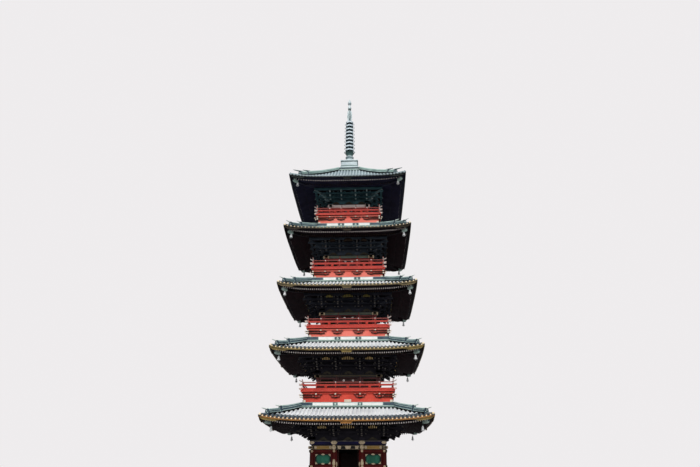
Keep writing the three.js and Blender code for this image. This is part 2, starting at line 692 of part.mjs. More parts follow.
function finialBase() {
  const foot = STOREYS[4].crown[1] + SEAT;
  const top = FINIAL_BASE_TOP;
  const slab = (half, z0, z1) => box(-half, half, -half, half, z0, z1);
  const overTop = [
    [0, -LAP], [560, -LAP], [560, 60], [500, 300], [330, 430], [200, 480], [200, 520], [370, 640],
    [380, 700], [290, 760], [280, 980], [480, 1210], [520, 1290], [120, 1320], [90, LOTUS_HEIGHT],
    [0, LOTUS_HEIGHT],
  ];
  return join([
    slab(FINIAL_BASE_HALF, foot, foot + BASE_LEDGE.foot),
    slab(FINIAL_BASE_HALF - BASE_LEDGE.inset, foot + BASE_LEDGE.foot - LAP, top - BASE_LEDGE.cap + LAP),
    slab(FINIAL_BASE_HALF, top - BASE_LEDGE.cap, top),
    turnedPiece(overTop.map(([r, z]) => [r, top + z]), 12),
  ]);
}

const RINGS_TOP = RING_FIRST + RING_COUNT * RING_STEP - RING_HALF[1];

function finialRings() {
  const foot = FINIAL_BASE_TOP + LOTUS_HEIGHT + SEAT;
  const profile = [[0, foot], [SHAFT_RADIUS + LAP, foot]];
  const [rim, root] = RING_HALF;
  for (let i = 0; i < RING_COUNT; i += 1) {
    const z = RING_FIRST + i * RING_STEP;
    const radius = RING_RADIUS - i * RING_TAPER;
    profile.push([SHAFT_RADIUS, z - root], [radius, z - rim], [radius, z + rim], [SHAFT_RADIUS, z + root]);
  }
  profile.push([SHAFT_RADIUS - LAP, RINGS_TOP], [0, RINGS_TOP]);
  return solidOf(turnedPiece(profile, 10));
}

function finialFlame() {
  const foot = RINGS_TOP + SEAT;
  const underTop = [
    [50, 1400], [120, 1300], [210, 1120], [120, 940], [50, 880], [60, 810],
    [170, 700], [210, 560], [150, 360], [50, 200], [0, 0],
  ];
  const jewels = underTop.map(([r, drop]) => [r, FINIAL_TOP - drop]);
  const shaft = turnedPiece([[0, foot], [60, foot], ...jewels], 8);
  const flame = [[20, 60], [150, 60], [290, 380], [250, 700], [180, 950], [60, 1160], [20, 1160]];
  const plate = uprightPlate(flame.map(([out, up]) => [out, foot + up]), FLAME_THICK, 0);
  return join([shaft, ...onFourSides([plate])]);
}

// Assembly

addNode("stone_platform", stonePlatform(), STONE);
addNode("ground_floor", groundFloor(), DARK_WOOD);
addNode("front_wall_left", frontWall(-1), DARK_RED);
addNode("front_wall_right", frontWall(1), DARK_RED);
addNode("right_wall", closedWall(1, false), DARK_RED);
addNode("back_wall", closedWall(2, true), DARK_RED);
addNode("left_wall", closedWall(3, false), DARK_RED);
addNode("window_lattices_1", groundLattices(), LATTICE_GREEN);
addNode("right_doors", closedDoors(1), DARK_RED);
addNode("back_doors", closedDoors(2), DARK_RED);
addNode("left_doors", closedDoors(3), DARK_RED);
addNode("lintel_1", groundLintel(), LINTEL_PAINT);

const hingeOut = LEAF_HINGE_EDGE - LEAF_THICK / 2;
const hingeLine = -STOREYS[0].wall + LEAF_THICK / 2;
addNode("front_door_left", doorLeaf(-1), DARK_RED).position.set(-hingeOut, hingeLine, 0);
addNode("front_door_right", doorLeaf(1), DARK_RED).position.set(hingeOut, hingeLine, 0);

STOREYS.forEach((storey, i) => {
  const number = i + 1;
  const group = new THREE.Group();
  pagoda.add(group);
  if (i > 0) {
    addNode(`balcony_${number}`, balcony(storey, STOREYS[i - 1]), RED, group);
    addNode(`railing_${number}`, railing(storey), RED, group);
    addNode(`walls_${number}`, upperWalls(storey), DARK_RED, group);
    addNode(`doors_and_lattices_${number}`, upperScreens(storey), LATTICE_GREEN, group);
  }
  addNode(`brackets_${number}`, brackets(storey), DARK_WOOD, group);
  addNode(`eaves_${number}`, eaves(storey), DARK_WOOD, group);
  addNode(`roof_${number}`, roof(storey), TILE_COPPER, group);
  addNode(`ridges_${number}`, ridges(storey), RIDGE_COPPER, group);
});

addNode("finial_base", finialBase(), FINIAL_BRONZE);
addNode("finial_rings", finialRings(), FINIAL_BRONZE);
addNode("finial_flame", finialFlame(), FINIAL_BRONZE);

export default pagoda;
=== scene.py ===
"""Looks of the five-storey pagoda. Metres, +Z up, front towards -Y, origin on the ground in the middle."""

import math
import bmesh
import bpy
import numpy as np
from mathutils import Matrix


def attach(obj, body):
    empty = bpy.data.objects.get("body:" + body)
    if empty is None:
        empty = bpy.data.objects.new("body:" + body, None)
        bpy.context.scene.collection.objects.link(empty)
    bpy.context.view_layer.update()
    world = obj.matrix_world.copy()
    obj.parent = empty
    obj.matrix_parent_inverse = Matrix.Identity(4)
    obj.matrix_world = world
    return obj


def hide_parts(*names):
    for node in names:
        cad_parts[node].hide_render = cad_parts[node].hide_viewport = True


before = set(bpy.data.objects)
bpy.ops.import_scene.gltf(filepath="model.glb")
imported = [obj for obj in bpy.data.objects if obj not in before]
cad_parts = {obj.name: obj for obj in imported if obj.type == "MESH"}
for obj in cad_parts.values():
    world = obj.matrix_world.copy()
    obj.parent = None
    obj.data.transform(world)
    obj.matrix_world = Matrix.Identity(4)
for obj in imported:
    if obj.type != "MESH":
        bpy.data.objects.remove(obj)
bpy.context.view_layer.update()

# Driving sizes, from the ground up.
# wall: half the distance between the corner columns' centres
# lintel: underside and top of the beam over the columns
# eave: half the roof's width, then the tile edge's lower side at mid-eave and at the corner
# crown: half the width, base and top of the box ridge; panels: half the middle panel, a side panel's ends
# dark_share: how far up the slope the cover tiles and the pan tiles take their darker paints
# ribs: how many cover tiles a side has, and their pitch; tips: how far apart the rafters' ends are
# bell: how far out along x and y the corner bell hangs, and the height of its middle
# deck: half the balcony's width, its underside and top, and the top of its railing
STOREYS = [
    dict(wall=2.55, lintel=(3.4, 3.99), eave=(5.93, 5.03, 5.35), crown=(3.38, 6.2, 6.56),
         panels=(0.73, 1.05, 2.53), ribs=(41, 0.281), dark_share=(0.36, 0.42), tips=0.158, bell=(5.12, 4.63)),
    dict(wall=2.3, lintel=(8.45, 8.67), eave=(5.555, 9.83, 10.11), crown=(3.18, 11.0, 11.37),
         panels=(0.575, 1.0, 2.24), ribs=(39, 0.28), dark_share=(0.36, 0.42), tips=0.158, bell=(4.89, 9.43),
         deck=(3.435, 7.28, 7.45, 7.99)),
    dict(wall=2.08, lintel=(13.31, 13.55), eave=(5.305, 14.68, 14.97), crown=(3.0, 15.84, 16.2),
         panels=(0.48, 0.96, 1.98), ribs=(37, 0.277), dark_share=(0.36, 0.8), tips=0.158, bell=(4.72, 14.34),
         deck=(3.2, 12.02, 12.2, 12.8)),
    dict(wall=1.85, lintel=(18.2, 18.46), eave=(5.07, 19.51, 19.81), crown=(2.7, 20.74, 21.11),
         panels=(0.36, 0.86, 1.8), ribs=(34, 0.287), dark_share=(0.36, 0.8), tips=0.158, bell=(4.48, 19.21),
         deck=(2.965, 16.88, 17.03, 17.7)),
    dict(wall=1.58, lintel=(23.04, 23.35), eave=(4.865, 24.3, 24.59), crown=(0.98, 27.25, 27.56),
         ribs=(36, 0.268), dark_share=(0.0, 0.06), tips=0.19, bell=(4.19, 24.07),
         deck=(2.755, 21.84, 21.97, 22.55)),
]
for number, storey in enumerate(STOREYS, 1):
    storey["number"] = number
GROUND, TOP = STOREYS[0], STOREYS[-1]
INNER = 0.387  # place of the columns beside the middle bay, as a share of wall

# Shapes: each is (points, faces), with points for one copy or several

BOX_FACES = [(3, 2, 1, 0), (4, 5, 6, 7), (0, 1, 5, 4), (1, 2, 6, 5), (2, 3, 7, 6), (3, 0, 4, 7)]
QUARTERS = ((1, 0), (0, 1), (-1, 0), (0, -1))  # cosine and sine of each side's turn
ROOT_2 = math.sqrt(2)


def turns(count):
    """Angles at even steps round a full turn."""
    return np.arange(count) * 2 * math.pi / count


def spread(count, pitch):
    """Places in a row at an even pitch, with their middle at 0."""
    return (np.arange(count) - (count - 1) / 2) * pitch


def placed(outline, x, z):
    """An outline's points moved by x and z."""
    return [(x + a, z + b) for a, b in outline]


def block(x0, x1, y0, y1, z0, z1):
    ring = ((x0, y0), (x1, y0), (x1, y1), (x0, y1))
    return np.array([(x, y, z) for z in (z0, z1) for x, y in ring], float), BOX_FACES


def centred(x, y, half_x, half_y, z0, z1):
    """A block with its middle at x and y."""
    return block(x - half_x, x + half_x, y - half_y, y + half_y, z0, z1)


def tube_faces(rings, count, closed=False):
    """Faces of a tube of rings with count points each, and its end faces unless it closes on itself."""
    faces = []
    for i in range(rings if closed else rings - 1):
        a, b = i * count, (i + 1) % rings * count
        faces += [(a + j, a + (j + 1) % count, b + (j + 1) % count, b + j) for j in range(count)]
    if not closed:
        faces += [tuple(range(count))[::-1], tuple(range((rings - 1) * count, rings * count))]
    return faces


def tube(rings, closed=False):
    rings = np.asarray(rings, float)
    return rings.reshape(-1, 3), tube_faces(rings.shape[0], rings.shape[1], closed)


def prism(outline, low, high, axis):
    """An outline pushed along an axis: (y, z) along x, (x, z) along y or (x, y) along z."""
    a, b = np.array(outline, float).T
    rings = []
    for t in (low, high):
        c = np.full(len(a), t)
        rings.append(np.stack({"x": (c, a, b), "y": (a, c, b), "z": (a, b, c)}[axis], -1))
    return tube(rings)


def lathe(profile, sides, centre=(0, 0, 0), closed=False):
    """A round piece about +Z: its profile of (radius, height) starts and ends on the axis or is closed."""
    angles = turns(sides)
    turn = np.stack([np.cos(angles), np.sin(angles), np.zeros(sides)], -1)
    inner = profile if closed else profile[1:-1]
    rings = np.array([turn * r + (0, 0, z) for r, z in inner])
    points, faces = tube(rings, closed)
    if not closed:
        faces = faces[:-2]
        last = len(points) - sides
        points = np.concatenate([points, [(0, 0, profile[0][1]), (0, 0, profile[-1][1])]])
        foot, top = len(points) - 2, len(points) - 1
        for j in range(sides):
            faces += [(foot, (j + 1) % sides, j), (top, last + j, last + (j + 1) % sides)]
    return points + np.array(centre, float), faces


def square_ring(section, lift=0.0, steps=1):
    """A ring round the tower: the section lists (half width, height, share of the corner lift)."""
    half, height, share = np.array([(*row, 0.0)[:3] for row in section], float).T
    rings = []
    for c, s in QUARTERS:
        for step in range(steps):
            u = math.sin((2 * step / steps - 1) * math.pi / 2)
            x, y = u * half, -half
            rings.append(np.stack([x * c - y * s, x * s + y * c, height + lift * u ** 4 * share], -1))
    return tube(rings, True)


def slab_ring(inner, outer, z0, z1):
    return square_ring([(inner, z0), (outer, z0), (outer, z1), (inner, z1)])


def moved(shape, *places):
    """Copies of a shape, one at each place."""
    points, faces = shape
    return points[None] + np.array(places, float)[:, None], faces


def turned(shape, angle):
    c, s = math.cos(angle), math.sin(angle)
    return shape[0] @ np.array([(c, s, 0), (-s, c, 0), (0, 0, 1)]), shape[1]


def facing(shape):
    """A shape made about +Z, laid so that it faces the front."""
    return shape[0] @ np.array([(1, 0, 0), (0, 0, 1), (0, -1, 0)]), shape[1]


def along_x(shape):
    """A shape made about +Z, laid along +X."""
    return shape[0][:, ::-1], shape[1]


def round_axis(shape, count, first=0.0):
    """Copies of a shape at even turns about +Z."""
    return np.stack([turned(shape, first + turn)[0] for turn in turns(count)]), shape[1]


def mirrored(shape):
    points, faces = shape
    return np.stack([points, points * (-1, 1, 1)]), faces


def on_sides(shape):
    """A shape made at the front, on all four sides."""
    points, faces = shape
    return np.stack([points @ np.array([(c, s, 0), (-s, c, 0), (0, 0, 1)]) for c, s in QUARTERS]), faces


def on_corners(shape):
    """A shape made along +X, turned to run out over each corner."""
    return on_sides(turned(shape, -math.pi / 4))


MERGE = 0.0002
SHARP_ANGLE = 38


def in_scene(name, data):
    """A new object in the scene."""
    thing = bpy.data.objects.new(name, data)
    bpy.context.scene.collection.objects.link(thing)
    return thing


class Piece:
    """Shapes gathered into one mesh, each face with its paint.

    sides adds a shape made at the front on all four sides, pairs adds it there on the left and right,
    and corners adds a shape made along +X over each corner.
    """

    def __init__(self, name):
        self.name, self.points, self.groups, self.paints, self.count = name, [], [], [], 0

    def add(self, shape, paint):
        points, faces = shape
        copies = np.asarray(points, float).reshape(-1, points.shape[-2], 3)
        starts = self.count + np.arange(len(copies)) * copies.shape[1]
        if paint not in self.paints:
            self.paints.append(paint)
        for size in sorted({len(face) for face in faces}):
            group = np.array([face for face in faces if len(face) == size])
            self.groups.append(((starts[:, None, None] + group).reshape(-1, size), self.paints.index(paint)))
        self.points.append(copies.reshape(-1, 3))
        self.count += len(copies) * copies.shape[1]

    def sides(self, shape, paint):
        self.add(on_sides(shape), paint)

    def pairs(self, shape, paint):
        self.add(on_sides(mirrored(shape)), paint)

    def corners(self, shape, paint):
        self.add(on_corners(shape), paint)

    def build(self, nodes=(), body="tower", bevel=0.0):
        mesh = bpy.data.meshes.new(self.name)
        points = np.concatenate(self.points)
        sizes = np.concatenate([np.full(len(group), group.shape[1]) for group, _ in self.groups])
        loops = np.concatenate([group.ravel() for group, _ in self.groups])
        mesh.vertices.add(len(points))
        mesh.vertices.foreach_set("co", points.ravel())
        mesh.loops.add(len(loops))
        mesh.loops.foreach_set("vertex_index", loops)
        mesh.polygons.add(len(sizes))
        mesh.polygons.foreach_set("loop_start", np.cumsum(sizes) - sizes)
        numbers = np.concatenate([np.full(len(group), paint) for group, paint in self.groups])
        mesh.polygons.foreach_set("material_index", numbers)
        for paint in self.paints:
            mesh.materials.append(PAINTS[paint])
        mesh.update(calc_edges=True)
        cleaned = bmesh.new()
        cleaned.from_mesh(mesh)
        bmesh.ops.dissolve_degenerate(cleaned, dist=MERGE, edges=cleaned.edges)
        bmesh.ops.recalc_face_normals(cleaned, faces=cleaned.faces)
        cleaned.to_mesh(mesh)
        cleaned.free()
        mesh.polygons.foreach_set("use_smooth", np.ones(len(mesh.polygons), bool))
        mesh.set_sharp_from_angle(angle=math.radians(SHARP_ANGLE))
        thing = in_scene(self.name, mesh)
        if bevel:
            edge = thing.modifiers.new("edges", "BEVEL")
            edge.width, edge.segments, edge.limit_method = bevel, 1, "ANGLE"
        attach(thing, body)
        if nodes:
            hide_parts(*nodes)


# Paints and metals


def linear(text):
    """A colour written as six hex digits, as the shader takes it."""
    parts = [int(text[i:i + 2], 16) / 255 for i in (0, 2, 4)]
    return [p / 12.92 if p <= 0.04045 else ((p + 0.055) / 1.055) ** 2.4 for p in parts] + [1]


PAINTS = {}
PATCH_DETAIL, SPECK_DETAIL = 6, 8
# The noise's values between which the shade, the wear with its painted highlights and the roughness grow
SHADE_RANGE = (0.38, 0.66)
WEAR_AND_HIGHLIGHT_FROM, WEAR_AND_HIGHLIGHT_TO = 0.62, 0.74
ROUGH_RANGE = (0.3, 0.7)


def finish(name, colours, rough, metal=0.0, patch=1.3, fine=26.0, wear_and_highlight_share=0.35, grain=(1, 1, 1),
           gloss=0.5, bump=0.25, depth=0.004):
    """A weathered surface of three colours: main, shade in patches and wear in specks, with fine relief. On
    some paints the light specks are painted highlights as well as wear.
    """
    main, shade, wear_and_highlight = colours.split()
    made = bpy.data.materials.new(name)
    made.use_nodes = True
    tree = made.node_tree
    new, link = tree.nodes.new, tree.links.new
    shader = tree.nodes["Principled BSDF"]
    shader.inputs["Metallic"].default_value = metal
    shader.inputs["Specular IOR Level"].default_value = gloss
    place = new("ShaderNodeTexCoord")
    stretch = new("ShaderNodeMapping")
    stretch.inputs["Scale"].default_value = grain
    link(place.outputs["Object"], stretch.inputs["Vector"])

    def noise(scale, detail):
        cloud = new("ShaderNodeTexNoise")
        cloud.inputs["Scale"].default_value = scale
        cloud.inputs["Detail"].default_value = detail
        link(stretch.outputs["Vector"], cloud.inputs["Vector"])
        return cloud.outputs["Fac"]

    def between(value, low, high, to_low=0.0, to_high=1.0):
        span = new("ShaderNodeMapRange")
        for socket, number in zip(("From Min", "From Max", "To Min", "To Max"), (low, high, to_low, to_high)):
            span.inputs[socket].default_value = number
        link(value, span.inputs["Value"])
        return span.outputs["Result"]

    def mixed(factor, first, second):
        mix = new("ShaderNodeMix")
        mix.data_type = "RGBA"
        link(factor, mix.inputs["Factor"])
        for socket, colour in (("A", first), ("B", second)):
            target = next(i for i in mix.inputs if i.name == socket and i.type == "RGBA")
            if isinstance(colour, str):
                target.default_value = linear(colour)
            else:
                link(colour, target)
        return next(o for o in mix.outputs if o.type == "RGBA")

    patches, specks = noise(patch, PATCH_DETAIL), noise(fine, SPECK_DETAIL)
    base = mixed(between(patches, *SHADE_RANGE), main, shade)
    wear_and_highlight_amount = between(specks, WEAR_AND_HIGHLIGHT_FROM - 0.1 * wear_and_highlight_share, WEAR_AND_HIGHLIGHT_TO, 0.0, wear_and_highlight_share)
    link(mixed(wear_and_highlight_amount, base, wear_and_highlight), shader.inputs["Base Color"])
    link(between(specks, *ROUGH_RANGE, *rough), shader.inputs["Roughness"])
    relief = new("ShaderNodeBump")
    relief.inputs["Strength"].default_value = bump
    relief.inputs["Distance"].default_value = depth
    link(specks, relief.inputs["Height"])
    link(relief.outputs["Normal"], shader.inputs["Normal"])
    PAINTS[name] = made


def family(paints, *look, **more):
    """Paints that differ only in their colours."""
    for name, colours in paints.items():
        finish(name, colours, *look, **more)


DULL = 0.15  # gloss of matt, sooty surfaces
# How much the noise is stretched: a small number draws it out along its axis
TILE_GRAIN = (1, 1, 0.6)
RIDGE_GRAIN = (1, 1, 1.6)
WOOD_GRAIN = (1, 1, 0.25)
WAIST_GRAIN = (1, 1, 0.5)
BAR_GRAIN = (1, 1, 0.3)
BOARD_GRAIN = (0.3, 2.5, 1)
BEAM_GRAIN = (0.6, 0.6, 1)
GOLD_GRAIN = (1, 1, 2)
BRONZE_GRAIN = (1, 1, 1.5)

family(dict(
    rib="dcdfdf c6cacb 979fa1", rib_top="98a8ac 839499 bac5c5",
), (0.45, 0.7), 0.1, 1.1, 18, 0.45, grain=TILE_GRAIN)
# Darker paints for the cover tiles and the pan tiles low on the slopes; the cover tiles' lighter specks there
# are painted highlights as well as wear.
finish("rib_low", "59646a 454f56 808c8f", (0.5, 0.75), 0.1, 1.4, 20, grain=TILE_GRAIN)
family(dict(
    pan="d3d5d8 bbbfc3 979da1", pan_top="6c7e85 59696f 92a0a3",
), (0.5, 0.75), 0.1, 1.2, 22, grain=TILE_GRAIN)
finish("pan_low", "3d474d 2c353b 5f6a6f", (0.55, 0.8), 0.05, 1.2, 22, grain=TILE_GRAIN, gloss=DULL)
# Near-black filler under the ridges: painted shadow.
finish("painted_shadow", "0c0f12 14181a 1d2123", (0.7, 0.9), gloss=DULL)
finish("ridge", "425865 304350 788d92", (0.5, 0.75), 0.15, 1.6, 24, 0.5, grain=RIDGE_GRAIN)
finish("ridge_edge", "a9c0b9 86a09a 56696a", (0.45, 0.7), 0.15, 1.6, 24, grain=RIDGE_GRAIN)
# Dark navy; on the horns' end plates it is painted shade over the end tiles.
finish("ridge_end", "24394a 182835 52696f", (0.5, 0.75), 0.1, 1.6, 24, grain=RIDGE_GRAIN)
family(dict(
    horn="e3e8e2 c4cec8 8b9a94", horn_dim="5f7471 4a5d5c 9fb3ac",
), (0.45, 0.7), 0.1, 2.4, 24)
finish("ridge_mint", "93aca6 728c88 c0d2cb", (0.45, 0.7), 0.15, 1.6, 24, 0.5, grain=RIDGE_GRAIN)
# Near white: partly the crown plates' own pale metal and partly a painted reflection of the sky.
finish("panel", "f2f4f0 e2e6e1 b1bbb4", (0.45, 0.65), 0.0, 2.0, 30)
finish("cap", "f6e7c8 e6cfa0 a08250", (0.3, 0.5), 0.1, 3.0, 40)
# Bright gilt without metal: the gilt's colour with a painted reflection of the sky; the dimmer copy below
# stands for a weaker painted reflection.
finish("gilt", "ffdf9c f2c478 b0823e", (0.3, 0.5), 0.0, 3.0, 40)
finish("gilt_dim", "b3a258 8f8044 d6c888", (0.35, 0.55), 0.1, 3.0, 40)
finish("gold_1", "a5702e 7d5220 d9a860", (0.35, 0.6), 0.3, 2.5, 30, 0.6, grain=GOLD_GRAIN)
finish("gold_2", "857037 5e4f27 bfa564", (0.4, 0.6), 0.3, 2.5, 30, 0.6, grain=GOLD_GRAIN)
finish("gold_3", "6c5c36 4a4028 9d8a58", (0.4, 0.6), 0.25, 2.5, 30, 0.6, grain=GOLD_GRAIN)
family(dict(
    gold_4="3a3226 28241c 6b5c42", gold_5="1d2220 151918 444a3c",
), (0.45, 0.65), 0.2, 2.5, 30, 0.5, grain=GOLD_GRAIN, gloss=DULL)
family(dict(
    rafter="2e1b21 21141a 4b3036", rafter_top="30304a 232338 4c4c66",
), (0.55, 0.8), 0.0, 1.5, 30, gloss=DULL)
family(dict(
    soffit="1c141b 140e14 2e232b", soffit_top="282b3c 1e202e 40445a",
), (0.6, 0.85), 0.0, 1.5, 30, gloss=DULL)
finish("tip", "fff6f0 f6e6dd d0b4a6", (0.4, 0.6), 0.0, 4.0, 40)
finish("tip_dim", "5a4a3a 41352b 857055", (0.5, 0.7), 0.1, 4.0, 40, gloss=DULL)
# The bracket paints grow lighter from the lowest storeys to the top one: painted light for the brighter sky
# light under the upper eaves.
family(dict(
    bracket="312e36 232128 524e4e", bracket_3="373943 272830 565a60",
    bracket_4="47505a 343c45 6a7480", bracket_teal="466a70 33525a 74928f",
), (0.55, 0.8), 0.0, 1.6, 24, 0.3, gloss=DULL)
finish("corner_arm", "789395 617c80 a4b6b4", (0.5, 0.7), 0.0, 1.6, 24, 0.3, gloss=DULL)
finish("bracket_end", "7d766e 5c5854 a39a90", (0.5, 0.7), 0.0, 3.0, 40, gloss=DULL)
finish("bracket_end_pale", "c4d0cc 9fb0ac e6ece6", (0.45, 0.65), 0.0, 3.0, 40)
finish("frog_leg", "4b463a 39352c 6d6550", (0.5, 0.7), 0.15, 5.0, 40, 0.6, gloss=DULL)
# The pale pink specks on the vermilion are partly wear and partly painted highlights.
finish("vermilion", "d73a27 c42f1e f09a84", (0.35, 0.6), 0.0, 1.4, 20, 0.5)
finish("rail_end", "f0dfd6 d6bdb2 b06a5c", (0.4, 0.6), 0.0, 2.4, 24, 0.4)
# A lighter vermilion for the rails' tops and the waist brackets' blocks: painted highlight.
finish("vermilion_highlight", "c7655a a94a40 e8b0a0", (0.4, 0.6), 0.0, 1.4, 20, 0.4)
# The waist's reds: the lighter one for the upper waists is painted light on the same red, and the pale specks
# of both are partly painted highlights.
finish("waist_red_lit", "ff8270 f26450 ffb6a4", (0.5, 0.7), 0.0, 0.9, 12, 0.4, grain=WAIST_GRAIN)
finish("waist_red", "e0452f cd3824 f08c70", (0.45, 0.65), 0.0, 0.9, 12, 0.4, grain=WAIST_GRAIN)
# Near-black for the waist's brackets; as the thin band under the deck it is painted shadow.
finish("waist_dark", "1f1a14 14110d 4a3a20", (0.5, 0.7), 0.0, 3.6, 24, gloss=DULL)
finish("cream", "f1e2d0 dccab5 a8947c", (0.5, 0.75), 0.0, 2.0, 30)
finish("red_wood", "5f1410 460e0b 84261b", (0.45, 0.7), 0.0, 1.6, 16, 0.3, grain=WOOD_GRAIN, gloss=DULL)
family(dict(
    wall_red_2="5a110e 400b0a 7e261b", wall_red_3="7c1c17 5e120f a03626",
    wall_red_4="a12c22 861f18 c65440", wall_red_5="c43a30 a52a22 e27a66",
), (0.4, 0.65), 0.0, 1.6, 16, 0.3, grain=WOOD_GRAIN)
finish("door_red", "4d120e 390c0a 6f241a", (0.4, 0.65), 0.0, 1.8, 18, 0.3, grain=WOOD_GRAIN)
finish("lattice", "3b9679 2d7a62 74c2a6", (0.5, 0.7), 0.0, 1.8, 24, 0.4, BAR_GRAIN)
finish("olive_lattice", "232c1d 1a2116 3f4a30", (0.55, 0.75), 0.0, 1.8, 24, 0.4, BAR_GRAIN, DULL)
# The top storey's lintel paint is near white: the band's pale beige-pink with painted light added for the
# weakly lit lintel.
family(dict(
    lintel_2="2c2320 201a18 54463a", lintel_3="55645a 435047 8c9a84",
    lintel_4="6f8073 59695d a5b29a", lintel_5="ffebe2 efd8ce c9aca0",
), (0.5, 0.7), 0.0, 3.0, 30, 0.5, grain=BEAM_GRAIN)
finish("ochre", "bd9347 9c7736 e0bc76", (0.45, 0.65), 0.0, 5.0, 30, 0.6, grain=BEAM_GRAIN)
finish("indigo", "232150 191838 403d70", (0.5, 0.7), 0.0, 3.0, 30, 0.4, grain=BEAM_GRAIN, gloss=DULL)
finish("black", "0a080a 060506 1d191b", (0.35, 0.6), 0.0, 1.5, 26, gloss=0.3)
finish("fitting", "e0caa8 c2ab86 86714f", (0.35, 0.55), 0.2, 6.0, 40, 0.6)
finish("fitting_dim", "7d6c52 5c4f3c a8966f", (0.4, 0.6), 0.2, 6.0, 40, 0.6)
finish("sleeve", "c6dbd0 9dbbae eef4ee", (0.4, 0.6), 0.2, 5.0, 36, 0.6)
# Pure white: the bells' pale aged bronze with a painted highlight.
finish("bell", "ffffff f2f6f4 c5cfca", (0.35, 0.55), 0.0, 4.0, 40)
# A darker copy of the bronze: painted shade on the rings' dishes and small bells.
finish("bronze_deep", "2f4b50 223a40 5f7f80", (0.45, 0.65), 0.2)
finish("bronze", "45625f 324b4a 7f9c96", (0.4, 0.6), 0.3, 1.8, 20, 0.55, grain=BRONZE_GRAIN)
# A pale copy of the bronze: painted sky light on the ring hoops and their arms.
finish("ring_pale", "dde9ef c6d6de 8fa5ad", (0.4, 0.6), 0.1, 1.8, 20, grain=BRONZE_GRAIN)
finish("bronze_pale", "b8c5c7 9dacb0 738589", (0.4, 0.6), 0.2, 1.8, 20, grain=BRONZE_GRAIN)
finish("stone", "a29f95 8b887f c2bfb4", (0.75, 0.95), 0.0, 1.4, 30, 0.5, bump=0.5, depth=0.008)
finish("joint", "4c4a45 3d3b37 66635c", (0.85, 0.95))
finish("boards", "4a2a1e 38201a 6b4634", (0.5, 0.75), 0.0, 2.0, 20, 0.35, grain=BOARD_GRAIN)

# Roof slopes

PAN_FOOT = 0.1  # the pan tiles over the edge's lower side
PAN_UNDER = 0.1  # and under the crown's base
PAN_THICK = 0.07
RIB_RADIUS = 0.08
RIB_UP = 0.01
TILE_LENGTH = 0.36
PAN_SAG = 0.045
EDGE_GAP = 0.02
SHORTEST = 0.01  # a row of tiles shorter than this share of the slope is left out
BEND, TOP_BEND = 1.2, 1.28  # how strongly the slopes sag


def lift_of(s):
    return s["eave"][2] - s["eave"][1]


def slope(s, x, v):
    """A place on the front slope, at x, with v from 0 at the eave to 1 at the crown."""
    x, v = np.broadcast_arrays(np.asarray(x, float), np.asarray(v, float))
    half = s["eave"][0] + (s["crown"][0] - s["eave"][0]) * v
    foot, top = s["eave"][1] + PAN_FOOT, s["crown"][1] - PAN_UNDER
    bend = TOP_BEND if s is TOP else BEND
    u = np.minimum(1, np.abs(x) / half)
    z = foot + (top - foot) * v ** bend + lift_of(s) * u ** 4 * (1 - v) ** 1.5
    return np.stack([x, -half, z], -1)


def hip_at(s, x):
    """How far up the slope the tiles at x run before they meet the hip."""
    return np.clip((s["eave"][0] - np.abs(x)) / (s["eave"][0] - s["crown"][0]), 0, 1)


def course_edges(s, low, high):
    """Where the courses of tiles meet, from one part of the slope to another."""
    run = math.hypot(s["eave"][0] - s["crown"][0], s["crown"][1] - s["eave"][1])
    count = round(run / TILE_LENGTH)
    return np.unique(np.clip(np.arange(count + 1) / count, low, high))


def rib(s, x, low, high):
    """Round cover tiles up one line of the slope, each a little wider at its lower end."""
    angles = np.radians(np.linspace(-10, 190, 7))
    arch = np.stack([np.cos(angles), 0 * angles, np.sin(angles)], -1)
    edges = course_edges(s, low, high)
    rings = []
    for a, b in zip(edges[:-1], edges[1:]):
        for v, radius in ((a, RIB_RADIUS + 0.004), (b, RIB_RADIUS - 0.005)):
            rings.append(slope(s, x, v) + arch * radius + (0, 0, RIB_UP))
    return tube(rings)


def hanging(x0, x1):
    """Five places from one rib to the next, and the share of the pan tiles' sag at each."""
    t = np.linspace(0, 1, 5)
    return x0 + (x1 - x0) * t, np.sin(np.pi * t)


def pans(s, x0, x1, low, high):
    """The sagging pan tiles between two ribs, stepped at each course."""
    x, sag = hanging(x0, x1)
    limit = hip_at(s, x)
    rings = []
    edges = course_edges(s, low, high)
    for a, b in zip(edges[:-1], edges[1:]):
        if a > limit.max():
            break
        for v, up in ((a, 0.014), (b, -0.004)):
            at = np.minimum(v, limit)
            top = slope(s, x, at)
            top[:, 2] += 0.03 - PAN_SAG * sag + up
            foot = slope(s, x[[4, 0]], at[[4, 0]]) - (0, 0, PAN_THICK)
            rings.append(np.concatenate([top, foot]))
    return tube(rings)


CAP_RIM = [(0, -0.012), (0.05, -0.012), (0.058, 0.0), (0.082, -0.003), (0.084, -0.05), (0, -0.05)]
CAP_BOSS = [(0, 0.012), (0.025, 0.01), (0.045, -0.002), (0.05, -0.014), (0, -0.014)]


